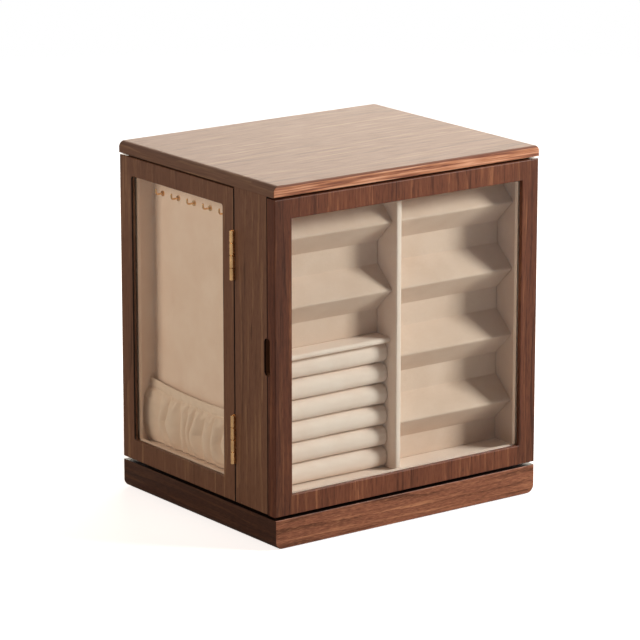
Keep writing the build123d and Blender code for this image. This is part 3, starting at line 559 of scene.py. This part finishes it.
def tube_faces(points):
    """Quads between rings of points that close round, and one face over each end."""
    rings, around = points.shape[:2]
    ring, place = np.meshgrid(np.arange(rings - 1), np.arange(around), indexing="ij")
    beside = (place + 1) % around
    low, high = ring * around, (ring + 1) * around
    quads = np.stack([low + place, low + beside, high + beside, high + place], axis=-1).reshape(-1, 4)
    first = list(range(around))[::-1]
    last = list(range((rings - 1) * around, rings * around))
    return quads.tolist() + [first, last]


def new_object(name, points, faces, material):
    """A mesh object at the origin, from an array of points and its faces."""
    mesh = bpy.data.meshes.new(name)
    mesh.from_pydata(points.reshape(-1, 3).tolist(), [], faces)
    mesh.materials.append(material)
    made = bpy.data.objects.new(name, mesh)
    bpy.context.scene.collection.objects.link(made)
    return made


def velvet_piece(name, shape, replaced=(), body="cabinet", shelf=False, sharp=40):
    """A piece in velvet from its points and faces, which are turned outwards. It is smooth but for edges
    sharper than the angle."""
    piece = new_object(name, *shape, velvet_material(shelf))
    mesh = piece.data
    work = bmesh.new()
    work.from_mesh(mesh)
    bmesh.ops.recalc_face_normals(work, faces=work.faces)
    work.to_mesh(mesh)
    work.free()
    mesh.shade_smooth()
    mesh.set_sharp_from_angle(angle=math.radians(sharp))
    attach(piece, body)
    if replaced:
        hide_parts(*replaced)
    return piece


def carried_along_x(outline, x_low, x_high, rounding, swell):
    """A closed outline in Y and Z carried along X. Within a rounding of each end it draws in along its own
    normals by the rounding times one less the cosine, as the place nears the end by the sine. swell gives
    how far each point stands off along its normal, from its place along X, its place on the outline and how
    far it is from the nearer end."""
    angle = np.linspace(math.pi / 2, 0, EDGE_STEPS)
    inset = rounding * (1 - np.cos(angle))
    offset = rounding * (1 - np.sin(angle))
    count = max(2, int((x_high - x_low - 2 * rounding) / SPACING))
    middle = np.linspace(x_low + rounding, x_high - rounding, count)[1:-1]
    xs = np.concatenate([x_low + offset, middle, (x_high - offset)[::-1]])[:, None]
    insets = np.concatenate([inset, np.zeros(len(middle)), inset[::-1]])[:, None]
    to_end = np.minimum(xs - x_low, x_high - xs)
    stand_off = swell(xs, outline[None, :, :], to_end) - insets
    section = outline[None, :, :] + outline_normals(outline)[None, :, :] * stand_off[:, :, None]
    points = np.concatenate([np.broadcast_to(xs[:, :, None], (len(xs), len(outline), 1)), section], axis=2)
    return points, tube_faces(points)


def soft_waves(a, b, size, phase):
    """A slow uneven wave over two coordinates: three crossed sines with unrelated periods."""
    first = np.sin(a / 0.0131 + 1.7 * phase) * np.sin(b / 0.0093 + phase)
    second = np.sin((a + b) / 0.0247 + 2.3 * phase)
    third = np.sin((a - 1.6 * b) / 0.0169 + 0.6 * phase)
    return size * (0.45 * first + 0.35 * second + 0.2 * third)


def rectangle_rings(half_u, half_v, radius, depth, per_corner=7, per_side=6):
    """Rounded rectangles, one for each size and depth: quarter circles about the four corner centres,
    joined by straight runs divided evenly."""
    sizes = [np.asarray(size, float) for size in (half_u, half_v, radius, depth)]
    half_u, half_v, radius, depth = (size[:, None, None] for size in np.broadcast_arrays(*sizes))
    quarter = np.linspace(0, math.pi / 2, per_corner)
    angles = quarter[None, :] + np.arange(4)[:, None] * math.pi / 2
    signs_u = np.array([1, -1, -1, 1])[None, :, None]
    signs_v = np.array([1, 1, -1, -1])[None, :, None]
    u = signs_u * (half_u - radius) + radius * np.cos(angles)[None]
    v = signs_v * (half_v - radius) + radius * np.sin(angles)[None]
    arcs = np.stack([u, v], axis=-1)
    ends = arcs[:, :, -1:, :]
    starts = np.roll(arcs[:, :, :1, :], -1, axis=1)
    share = (np.arange(1, per_side) / per_side)[None, None, :, None]
    sides = ends + (starts - ends) * share
    rings = np.concatenate([arcs, sides], axis=2).reshape(len(half_u), -1, 2)
    return np.concatenate([rings, np.broadcast_to(depth, rings.shape[:2] + (1,))], axis=2)


AXES = {"X": (0, 1, 2), "Y": (1, 0, 2), "Z": (2, 0, 1)}


def covered_board(low, high, axis, rounding):
    """A board between two corners of a box, wrapped in velvet: stacked rounded rectangles square to an
    axis, drawn in near both faces on a quarter circle."""
    low, high = np.array(low), np.array(high)
    along, u_axis, v_axis = AXES[axis]
    half = (high - low) / 2
    middle = (high + low) / 2
    angle = np.linspace(0, math.pi / 2, EDGE_STEPS)
    inset = rounding * (1 - np.sin(angle))
    lift = rounding * (1 - np.cos(angle))
    insets = np.concatenate([inset, inset[::-1]])
    depths = np.concatenate([lift - half[along], (half[along] - lift)[::-1]])
    rings = rectangle_rings(half[u_axis] - insets, half[v_axis] - insets, 1.5 * rounding - insets, depths)
    points = np.empty_like(rings)
    for column, placed_axis in enumerate((u_axis, v_axis, along)):
        points[..., placed_axis] = rings[..., column] + middle[placed_axis]
    return points, tube_faces(points)


# Operators: each makes a group of pieces


class ORGANIZER_OT_wood(bpy.types.Operator):
    """Walnut veneer on the boards that show, plain board on the others"""

    bl_idname = "organizer.wood"
    bl_label = "Finish the wood"

    def execute(self, context):
        wood = context.scene.organizer_wood
        for name, board in self.boards().items():
            material = walnut_veneer(name + "_walnut_veneer", board, wood)
            for node in board.nodes:
                finish_node(node, material)
        fibreboard = plain_fibreboard("plain_fibreboard", wood)
        for node in ("base_cover", "front_partition", "inner_panels"):
            finish_node(node, fibreboard)
        return {"FINISHED"}

    def boards(self):
        """The walnut boards, each with its own place in the log and its tint."""
        # What the veneers are multiplied by, and how light the front door is from place to place along X. The
        # top board's pale, cool tint is a painted reflection: it stands in for the pale glare of its lacquer
        # at a low angle.
        top, plinth, front = (1.08, 1.6, 1.85), (1.14, 1.2, 1.22), (0.76, 0.7, 0.64)
        left, even = (0.6, 0.86, 0.98), (0.8, 0.8, 0.8)
        stiles = [(-0.129, 0.5), (-0.112, 0.78), (-0.06, 1.0), (0.1, 0.94), (0.112, 0.78), (0.129, 0.7)]
        fronts = [drawer + "_front" for drawer in DRAWERS]
        carcass = ["bottom_board", "ceiling_board", "drawer_shelves"]
        top_finish = {"side": 0.5, "pore_share": 0.03, "figure": 0.6, "gloss": 0.34, "roughness": 0.5}
        top_finish["overlay"] = front_edge_band
        plinth_finish = {"side": 0.16, "pore_share": 0.12, "flecks": 0.3, "overlay": painted_deck_shade}
        seam_shaded = {"overlay": painted_seam_shade}
        calm = {"figure": 0.75, **seam_shaded}
        return {
            "top_board": Board(["top_board"], "X", (0.07, 0.19, 0.03), top, **top_finish),
            "base_plinth": Board(["base_plinth"], "X", (0.05, 0.13, 0.41), plinth, **plinth_finish),
            "front_door": Board(["front_door_frame"], "Z", (0.03, 0.21, 0.37), front, bands=stiles),
            "left_panel": Board(["left_side_panel"], "Z", (0.21, 0.02, 0.11), left, **calm),
            "right_panel": Board(["right_side_panel"], "Z", (-0.17, 0.05, 0.23), even, **seam_shaded),
            "left_door": Board(["left_door_frame"], "Z", (0.27, -0.03, 0.61), left, flecks=0.03, **calm),
            "right_door": Board(["right_door_frame"], "Z", (-0.29, 0.04, 0.83), even, **seam_shaded),
            "back_post": Board(["back_posts"], "Z", (0.04, 0.06, 0.17), even, **seam_shaded),
            "drawer_front": Board(fronts, "X", (0.11, -0.02, 0.29), even),
            "carcass": Board(carcass, "X", (0.02, 0.09, 0.47), even),
        }


class ORGANIZER_OT_metal_and_glass(bpy.types.Operator):
    """Brass hinges and hooks, steel bearing and magnets, glass panes and their beads, rubber pads"""

    bl_idname = "organizer.metal_and_glass"
    bl_label = "Finish metal and glass"

    def execute(self, context):
        metals = context.scene.organizer_metal
        brass = metal("drawn_polished_brass", metals.brass, roughness=0.24, mark_width=1.11, mark_share=0.2)
        zinc = metal("zinc_plated_steel", metals.zinc, roughness=0.38, mark_width=3.85, mark_share=1.0)
        steel = metal("ground_ball_steel", metals.steel, roughness=0.14, mark_width=1.43, mark_share=1.0)
        hinged = ("cabinet", *DOORS)
        finishes = {
            brass: [f"{body}_hinge_{piece}" for body in hinged for piece in ("leaves", "screws")],
            zinc: [f"bearing_{half}_{piece}" for half in ("lower", "upper") for piece in ("plate", "screws")],
            steel: [body + "_magnets" for body in hinged],
            float_glass("clear_float_glass"): [door + "_glass" for door in DOORS],
            velvet_material(): [door + "_bead" for door in DOORS],
            moulded_rubber("punched_rubber"): ["foot_pads"],
        }
        finishes[brass] += ["hinge_pins", "necklace_hooks"]
        finishes[zinc].append("bearing_cage")
        finishes[steel].append("bearing_balls")
        for material, nodes in finishes.items():
            for node in nodes:
                finish_node(node, material)
        return {"FINISHED"}


class ORGANIZER_OT_lining_cards(bpy.types.Operator):
    """Velvet-covered cards round the front display, its divider, and the plate over the ring rolls"""

    bl_idname = "organizer.lining_cards"
    bl_label = "Line the front display"

    def execute(self, context):
        fittings = context.scene.organizer_fittings
        rounding = context.scene.organizer_velvet.edge_rounding
        low, high = CARDS_LOW, CARDS_HIGH
        floor, ceiling = low.z + fittings.card_thickness, high.z - fittings.card_thickness
        side = fittings.side_card_thickness
        cards = {
            "floor_card": ((low.x, low.y, low.z), (high.x, high.y, floor), "Z"),
            "ceiling_card": ((low.x, low.y, ceiling), (high.x, high.y, high.z), "Z"),
            "left_side_card": ((low.x, low.y, floor), (low.x + side, high.y, ceiling), "X"),
            "right_side_card": ((high.x - side, low.y, floor), (high.x, high.y, ceiling), "X"),
        }
        for name, (card_low, card_high, axis) in cards.items():
            card = covered_board(card_low, card_high, axis, rounding)
            # The side cards take the darker velvet, as painted shade
            velvet_piece(name, card, ["front_lining_cards"], shelf=axis == "X")
        divider = covered_board(*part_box("front_divider"), "X", 1.6 * rounding)
        velvet_piece("velvet_divider", divider, ["front_divider"])
        velvet_piece("ring_unit_plate", self.ring_plate(fittings, rounding), ["ring_unit_top"])
        return {"FINISHED"}

    def ring_plate(self, fittings, rounding):
        """A slanting strip with a round nose: its outline in Y and Z, with rounded corners, carried along X
        with an uneven stand-off of a tenth of a millimetre."""
        low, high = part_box("ring_unit_top")
        thick, nose = fittings.plate_thickness, fittings.plate_rounding
        corners = [(low.y, low.z), (high.y, high.z - thick), (high.y, high.z), (low.y, low.z + thick)]
        outline = filled_in(corner_arcs(corners, [nose, rounding, rounding, nose], 8))

        def swell(x, section, to_end):
            return soft_waves(x, section[..., 0], 0.0001, 0.3)

        return carried_along_x(outline, low.x, high.x, rounding, swell)


class ORGANIZER_OT_earring_panels(bpy.types.Operator):
    """Zigzag panels with sloping shelves for earrings"""

    bl_idname = "organizer.earring_panels"
    bl_label = "Make the earring panels"

    def execute(self, context):
        for side, phase in zip(SIDES, (0.8, 2.1)):
            node = "earring_panel_" + side
            # The panels take the darker velvet, as painted shade
            velvet_piece("velvet_" + node, self.panel(*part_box(node), phase), [node], shelf=True, sharp=60)
        return {"FINISHED"}

    def panel(self, low, high, phase):
        """The zigzag's outline, from the top down its noses and folds and back up behind, with rounded
        corners, carried along X with an uneven stand-off of a fifth of a millimetre, as velvet over a thin
        foam has."""
        fittings = bpy.context.scene.organizer_fittings
        rounding = bpy.context.scene.organizer_velvet.edge_rounding
        wall = PARTITION_Y - fittings.board_thickness
        first = high.z - fittings.top_drop
        count = 1 + int((first - low.z - fittings.under_drop) / fittings.nose_pitch)
        noses = first - fittings.nose_pitch * np.arange(count)
        heights = np.stack([noses + fittings.slope_rise, noses, noses - fittings.under_drop], axis=1)
        depths = np.broadcast_to([wall, wall - fittings.shelf_reach, wall], heights.shape)
        shelves = np.stack([depths, heights], axis=-1).reshape(-1, 2)
        behind = [(wall, low.z), (PARTITION_Y, low.z), (PARTITION_Y, high.z)]
        corners = np.concatenate([[(wall, high.z)], shelves, behind])
        edge = 1.2 * rounding
        fold_radius, nose_radius = 0.0012, 0.0016
        shelf_radii = np.tile([fold_radius, nose_radius, fold_radius], count)
        radii = np.concatenate([[edge], shelf_radii, [edge] * len(behind)])
        outline = filled_in(corner_arcs(corners, radii, 7))

        def swell(x, section, to_end):
            return soft_waves(x, section[..., 1] + section[..., 0], 0.00018, phase)

        return carried_along_x(outline, low.x, high.x, rounding, swell)


class ORGANIZER_OT_ring_rolls(bpy.types.Operator):
    """Foam rolls in velvet, with the slits that hold rings between them"""

    bl_idname = "organizer.ring_rolls"
    bl_label = "Make the ring rolls"

    def execute(self, context):
        fittings = context.scene.organizer_fittings
        pitch = (ROLLS_HIGH.z - ROLLS_LOW.z + fittings.roll_gap) / fittings.roll_count
        for index in range(fittings.roll_count):
            low_z = ROLLS_LOW.z + index * pitch
            roll = self.roll(low_z, low_z + pitch - fittings.roll_gap, index)
            piece = velvet_piece(f"ring_roll_{index + 1}", roll, ["ring_rolls"], sharp=60)
        return {"FINISHED"}

    def roll(self, low_z, high_z, index):
        """A section with a round front carried along X. Its stand-off is an uneven slow wave, plus short
        folds round the section that die away from each end, where the velvet is tucked in."""
        rounding = bpy.context.scene.organizer_velvet.edge_rounding
        front, back = ROLLS_LOW.y, PARTITION_Y
        corners = [(front, high_z), (front, low_z), (back, low_z), (back, high_z)]
        fullness = 0.46 * (high_z - low_z)
        edge = 1.2 * rounding
        outline = filled_in(corner_arcs(corners, [fullness, fullness, edge, edge], 14), 0.75 * SPACING)
        wave_depth, tuck_depth, tuck_reach, inset = 0.00018, 0.00025, 0.006, 0.0001

        def swell(x, section, to_end):
            around = np.arctan2(section[..., 1] - (low_z + high_z) / 2, section[..., 0] - (front + back) / 2)
            tucks = tuck_depth * np.exp(-to_end / tuck_reach) * np.sin(11 * around + 2 * index)
            return soft_waves(x, section[..., 1], wave_depth, 1.3 * index + 0.4) + tucks - inset

        return carried_along_x(outline, ROLLS_LOW.x, ROLLS_HIGH.x, rounding, swell)


class ORGANIZER_OT_necklace_trays(bpy.types.Operator):
    """Velvet-lined trays behind the side doors"""

    bl_idname = "organizer.necklace_trays"
    bl_label = "Make the necklace trays"

    def execute(self, context):
        for side in SIDES:
            velvet_piece(f"velvet_{side}_tray", self.tray(side), [f"{side}_necklace_tray"], sharp=50)
        return {"FINISHED"}

    def tray(self, side):
        """Rounded rectangles from the middle of the tray's outer back, out and up its outer wall, over a
        rounded rim, and down the inner wall to the middle of its inner back, with a rounded corner at the
        foot."""
        low, high = (np.array(v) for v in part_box(f"{side}_necklace_tray"))
        half = (high - low) / 2
        middle = (high + low) / 2
        wall = bpy.context.scene.organizer_fittings.tray_wall
        back_edge, foot_radius, outer_corner, inner_corner = 0.0006, 0.002, 0.0035, 0.0012
        over = np.linspace(0, math.pi, 9)
        rim_inset = wall / 2 * (1 - np.cos(over))
        rim_height = high[0] - low[0] - 0.8 * wall / 2 * (1 - np.sin(over))
        down = np.linspace(0, math.pi / 2, 6)
        foot_inset = wall + foot_radius * (1 - np.cos(down))
        foot_height = wall + foot_radius * (1 - np.sin(down))
        outer_inset = np.concatenate([[back_edge, 0.0], rim_inset])
        insets = np.concatenate([outer_inset, foot_inset])
        heights = np.concatenate([[0.0, back_edge], rim_height, foot_height])
        radius = np.concatenate([outer_corner - outer_inset, np.full(len(down), inner_corner)])
        rings = rectangle_rings(half[1] - insets, half[2] - insets, radius, heights, per_side=12)
        x = high[0] - rings[..., 2] if side == "left" else low[0] + rings[..., 2]
        points = np.stack([x, middle[1] + rings[..., 0], middle[2] + rings[..., 1]], axis=-1)
        return points, tube_faces(points)


# Pocket folds: where their valleys lie along the hem, as shares of its length from front to rear, how deep
# each fold is beside the deepest, and how much of that depth it has at shares of the cloth's height
VALLEY_SHARES = np.array([-0.06, 0.07, 0.18, 0.28, 0.38, 0.47, 0.56, 0.63, 0.7, 0.8, 0.88, 1.12])
FOLD_DEPTH_SHARES = np.array([0.9, 1.0, 0.75, 1.0, 0.8, 0.95, 0.7, 0.65, 1.0, 0.8, 1.0])
FOLD_HEIGHT_SHARES = [0, 0.1, 0.28, 0.5, 0.7, 0.82, 0.86, 1.0]
FOLD_REACH_SHARES = [0.3, 0.7, 1.0, 1.0, 0.85, 0.45, 0.1, 0.03]

# The rest of the pocket: how far its hem stands off the tray's back, the depths of the gathers under the
# hem, of the casing's swell, of its puckers and of its seam, the gap under the cloth, and how far its hem
# stands up
HEM_STAND_OFF = 0.0044
GATHER_DEPTH, CASING_SWELL, PUCKER_DEPTH, SEAM_DEPTH = 0.0007, 0.0006, 0.0001, 0.0006
FOOT_GAP, HEM_RISE = 0.0004, 0.0001

# How many times wider the flat cloth is than the pocket, since its folds take up cloth
GATHERING = 1.22


class ORGANIZER_OT_pockets(bpy.types.Operator):
    """Gathered cloth pockets at the foot of the necklace trays"""

    bl_idname = "organizer.pockets"
    bl_label = "Make the gathered pockets"

    def execute(self, context):
        material = gathered_cloth("gathered_polyester_cloth", context.scene.organizer_velvet.cloth)
        for side in SIDES:
            self.pocket(side, material)
        return {"FINISHED"}

    def folds(self, s, t):
        """How deep the cloth's folds are, as a share of the deepest. A fold's section between two valleys
        is a half sine to the power 0.8, which leans more where the fold is deeper. The valleys wander
        towards the foot and bend to the rear at two fifths of the height, but not at the pocket's ends."""
        bend_height, bend_reach = 0.4, 0.34
        wander = 0.018 * np.sin(9 * s + 2.5 * t) * np.sin(math.pi * s) * (1 - t)
        bends = 0.022 + 0.018 * np.sin(23 * s + 1.3)
        bends = bends * np.clip(1 - np.abs(t - bend_height) / bend_reach, 0, 1)
        place = np.clip(s + (wander - bends) * np.minimum(1, 14 * s * (1 - s)), 0, 1)
        index = np.searchsorted(VALLEY_SHARES, place, side="right") - 1
        index = np.clip(index, 0, len(FOLD_DEPTH_SHARES) - 1)
        within = (place - VALLEY_SHARES[index]) / (VALLEY_SHARES[index + 1] - VALLEY_SHARES[index])
        depth = FOLD_DEPTH_SHARES[index]
        arch = np.sin(math.pi * within ** (0.75 + 0.5 * depth)) ** 0.8
        return depth * arch * np.interp(t, FOLD_HEIGHT_SHARES, FOLD_REACH_SHARES)

    def hem(self, s, t, hem_share):
        """How far the cloth stands off at its hem: small gathers in a band just below it, the casing's
        swell as half a sine to the power 0.4, the elastic's puckers, and the seam as a narrow bell-shaped
        groove."""
        gathers = np.sin(2 * math.pi * (21 * s + 1.1 * np.sin(7 * s + 3 * t)))
        below = np.exp(-(((t - hem_share + 0.08) / 0.09) ** 2))
        in_hem = np.clip((t - hem_share) / (1 - hem_share), 0, 1)
        casing = CASING_SWELL * np.sin(math.pi * in_hem) ** 0.4
        puckers = PUCKER_DEPTH * np.sin(2 * math.pi * 33 * s + 3 * np.sin(11 * s))
        seam = SEAM_DEPTH * np.exp(-(((t - hem_share) / 0.02) ** 2))
        return GATHER_DEPTH * gathers * below + np.where(t > hem_share, casing + puckers, 0) - seam

    def pocket(self, side, material):
        """A sheet over two shares, one along the hem and one up the cloth. It stands off the tray's back by
        its folds and its hem, and its upper edge sags on a parabola."""
        fittings = bpy.context.scene.organizer_fittings
        low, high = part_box(f"{side}_pocket")
        tray_low, tray_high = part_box(f"{side}_necklace_tray")
        across, up = 221, 90
        s = np.linspace(0, 1, across)[None, :]
        t = np.linspace(0, 1, up)[:, None]
        height = high.z + HEM_RISE - fittings.pocket_sag * (1 - (2 * s - 1) ** 2) - low.z
        hem_share = 1 - fittings.hem_height / height
        stand_off = HEM_STAND_OFF + fittings.fold_depth * self.folds(s, t) + self.hem(s, t, hem_share)
        if side == "left":
            x = tray_high.x - fittings.tray_wall - stand_off
        else:
            x = tray_low.x + fittings.tray_wall + stand_off
        y = low.y + (high.y - low.y) * s
        z = low.z + FOOT_GAP + t * (height - FOOT_GAP)
        points = np.stack(np.broadcast_arrays(x, y, z), axis=-1)
        row, column = np.meshgrid(np.arange(up - 1), np.arange(across - 1), indexing="ij")
        first = row * across + column
        quads = np.stack([first, first + 1, first + across + 1, first + across], axis=-1).reshape(-1, 4)
        if side == "left":
            quads = quads[:, ::-1]
        piece = new_object(f"{side}_gathered_pocket", points, quads.tolist(), material)
        mesh = piece.data
        flat_width = GATHERING * (high.y - low.y)
        flat_height = high.z - low.z
        uv_points = np.stack(np.broadcast_arrays(flat_width * s, flat_height * t), axis=-1).reshape(-1, 2)
        loops = np.empty(len(mesh.loops), int)
        mesh.loops.foreach_get("vertex_index", loops)
        mesh.uv_layers.new(name="cloth").data.foreach_set("uv", uv_points[loops].ravel())
        mesh.shade_smooth()
        solidify = piece.modifiers.new("cloth thickness", "SOLIDIFY")
        solidify.thickness = fittings.pocket_thickness
        solidify.offset = -1
        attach(piece, "cabinet")
        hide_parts(f"{side}_pocket")


class ORGANIZER_OT_drawer_linings(bpy.types.Operator):
    """Velvet on the drawers, and a soft pad on each drawer's floor"""

    bl_idname = "organizer.drawer_linings"
    bl_label = "Line the drawers"

    def execute(self, context):
        fittings = context.scene.organizer_fittings
        gap = fittings.pad_gap
        inset = fittings.drawer_wall + gap
        for drawer in DRAWERS:
            finish_node(drawer + "_box", velvet_material())
            low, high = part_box(drawer + "_box")
            floor = low.z + fittings.drawer_floor
            pad_low = (low.x + inset, low.y + inset, floor)
            pad_high = (high.x - inset, high.y - gap, floor + fittings.pad_thickness)
            pad = self.pad(np.array(pad_low), np.array(pad_high))
            piece = velvet_piece(drawer + "_pad", pad, body=drawer)
        return {"FINISHED"}

    def pad(self, low, high):
        """Rounded rectangles that shrink towards the middle while the height rises to a low crown: an
        inset's share of the half width gives the crown by one less its fourth power."""
        half, middle = (high - low) / 2, (high + low) / 2
        edge, corner, least_corner = 0.0012, 0.003, 0.0008
        angle = np.linspace(0, math.pi / 2, 6)
        inward = np.linspace(0, 1, 9)[1:]
        insets = np.concatenate([[edge], edge * (1 - np.sin(angle)), edge + inward * (half[1] - 3 * edge)])
        crown = edge + (high[2] - low[2] - edge) * (1 - (1 - inward) ** 4)
        heights = np.concatenate([[0], edge * (1 - np.cos(angle)), crown])
        radius = np.maximum(corner - insets, least_corner)
        rings = rectangle_rings(half[0] - insets, half[1] - insets, radius, heights)
        points = rings + [middle[0], middle[1], low[2]]
        return points, tube_faces(points)


class ORGANIZER_OT_stage(bpy.types.Operator):
    """Pale floor, soft lamps and the camera at the photograph's viewing angle"""

    bl_idname = "organizer.stage"
    bl_label = "Set up the studio"

    def execute(self, context):
        stage = context.scene.organizer_stage
        self.floor(stage)
        self.world(stage)
        white = (1, 1, 1)
        # Each lamp's place, the length of its sides, its power and its colour
        lamps = {
            "key_lamp": ((1.22, -1.22, 0.91), 0.55, stage.key_power, white),
            "fill_lamp": ((-1.85, 0.1, 0.85), 0.9, stage.fill_power, stage.warmth),
            "top_lamp": ((1.09, -0.55, 1.6), 0.6, stage.top_power, white),
            "back_lamp": ((1.34, 1.5, 0.87), 1.2, stage.back_power, stage.back_warmth),
        }
        for name, (place, size, power, colour) in lamps.items():
            self.lamp(name, Vector(place), size, power, colour)
        self.camera()
        context.scene.view_settings.view_transform = "Standard"
        return {"FINISHED"}

    def floor(self, stage):
        """A disc that fades out towards its rim, so that it has no horizon. Its paper glows to the camera
        alone, which makes it white where nothing shades it, and is a plain grey to all else."""
        radii = np.array([0.3, 0.8, 1.6, 2.6])
        fade_start, fade_end = 0.5, 2.0
        angles = np.linspace(0, 2 * math.pi, 73)[:-1]
        rings = radii[:, None, None] * np.stack([np.cos(angles), np.sin(angles)], axis=-1)[None]
        points = np.concatenate([rings, np.zeros(rings.shape[:2] + (1,))], axis=2)
        material, tree = new_material("seamless_paper")
        place = add(tree, "TexCoord").outputs["Object"]
        distance = add(tree, "VectorMath", {0: place}, operation="LENGTH")
        limits = {"Value": distance, "From Min": fade_start, "From Max": fade_end}
        fade = add(tree, "MapRange", limits, interpolation_type="SMOOTHSTEP")
        seen = add(tree, "LightPath").outputs["Is Camera Ray"]
        glow = add(tree, "Math", {0: seen, 1: 0.7}, operation="MULTIPLY")
        tint = add(tree, "Mix", {0: seen, 6: grey(0.6), 7: rgba(stage.floor)}, data_type="RGBA")
        paper = add(tree, "BsdfDiffuse", {"Color": tint})
        both = add(tree, "AddShader", {0: paper, 1: add(tree, "Emission", {"Strength": glow})})
        faded = add(tree, "MixShader", {0: fade, 1: both, 2: add(tree, "BsdfTransparent")})
        add(tree, "OutputMaterial", {"Surface": faded})
        floor = new_object("studio_floor", points, tube_faces(points)[:-1], material)
        floor.data.flip_normals()

    def world(self, stage):
        """White wherever it is seen or looked at through glass, grey in mirrors, dim and warm as a light."""
        world = bpy.data.worlds.new("studio_world")
        bpy.context.scene.world = world
        world.use_nodes = True
        tree = world.node_tree
        tree.nodes.clear()
        path = add(tree, "LightPath").outputs
        camera, glass, mirror = path["Is Camera Ray"], path["Is Transmission Ray"], path["Is Glossy Ray"]
        seen = add(tree, "Math", {0: camera, 1: glass}, operation="MAXIMUM")
        dim = add(tree, "MapRange", {"Value": mirror, "To Min": stage.ambient, "To Max": stage.mirrored})
        strength = add(tree, "Mix", {0: seen, 6: dim, 7: grey(1.0)}, data_type="RGBA")
        plain = add(tree, "Math", {0: seen, 1: mirror}, operation="MAXIMUM")
        tint = add(tree, "Mix", {0: plain, 6: rgba(stage.warmth), 7: grey(1.0)}, data_type="RGBA")
        sky = add(tree, "Background", {"Color": tint, "Strength": strength})
        add(tree, "OutputWorld", {"Surface": sky})

    def lamp(self, name, place, size, power, colour):
        """A square area lamp that looks at the middle of the cabinet."""
        aim = Vector((0, 0, 0.14))
        data = bpy.data.lights.new(name, "AREA")
        data.color = colour
        data.shape = "SQUARE"
        data.size = size
        data.energy = power
        lamp = bpy.data.objects.new(name, data)
        lamp.location = place
        lamp.rotation_euler = (place - aim).to_track_quat("Z", "Y").to_euler()
        bpy.context.scene.collection.objects.link(lamp)

    def camera(self):
        """The photograph's viewpoint, from the angles and distance that its straight edges give."""
        azimuth, elevation = math.radians(-36.455), math.radians(14.499)
        distance = 2.984909
        target = Vector((-0.008379, 0.0, 0.143742))
        level, rise = math.cos(elevation), math.sin(elevation)
        back = Vector((math.sin(azimuth) * level, -math.cos(azimuth) * level, rise))
        right = Vector((math.cos(azimuth), math.sin(azimuth), 0))
        turn = Matrix((right, back.cross(right), back)).transposed().to_4x4()
        data = bpy.data.cameras.new("camera")
        data.sensor_width = 36.0
        data.lens = 209.6
        data.clip_end = 50
        camera = bpy.data.objects.new("camera", data)
        camera.matrix_world = Matrix.Translation(target + back * distance) @ turn
        bpy.context.scene.collection.objects.link(camera)
        bpy.context.scene.camera = camera


class ORGANIZER_PT_panel(bpy.types.Panel):
    """Lists the steps that dress the organizer"""

    bl_idname = "ORGANIZER_PT_panel"
    bl_label = "Jewelry organizer"
    bl_space_type = "VIEW_3D"
    bl_region_type = "UI"
    bl_category = "Organizer"

    def draw(self, context):
        for step in STEPS:
            self.layout.operator(step.bl_idname)


SETTINGS = {
    "organizer_wood": OrganizerWood,
    "organizer_velvet": OrganizerVelvet,
    "organizer_metal": OrganizerMetal,
    "organizer_fittings": OrganizerFittings,
    "organizer_stage": OrganizerStage,
}
STEPS = (
    ORGANIZER_OT_wood,
    ORGANIZER_OT_metal_and_glass,
    ORGANIZER_OT_lining_cards,
    ORGANIZER_OT_earring_panels,
    ORGANIZER_OT_ring_rolls,
    ORGANIZER_OT_necklace_trays,
    ORGANIZER_OT_pockets,
    ORGANIZER_OT_drawer_linings,
    ORGANIZER_OT_stage,
)
CLASSES = (*SETTINGS.values(), *STEPS, ORGANIZER_PT_panel)


def register():
    for made in CLASSES:
        bpy.utils.register_class(made)
    for name, group in SETTINGS.items():
        setattr(bpy.types.Scene, name, PointerProperty(type=group))


def unregister():
    for name in SETTINGS:
        delattr(bpy.types.Scene, name)
    for made in reversed(CLASSES):
        bpy.utils.unregister_class(made)


def main():
    """Registers the add-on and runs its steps."""
    register()
    for step in STEPS:
        group, call = step.bl_idname.split(".")
        getattr(getattr(bpy.ops, group), call)()
    bpy.context.view_layer.update()


if __name__ == "__main__":
    main()
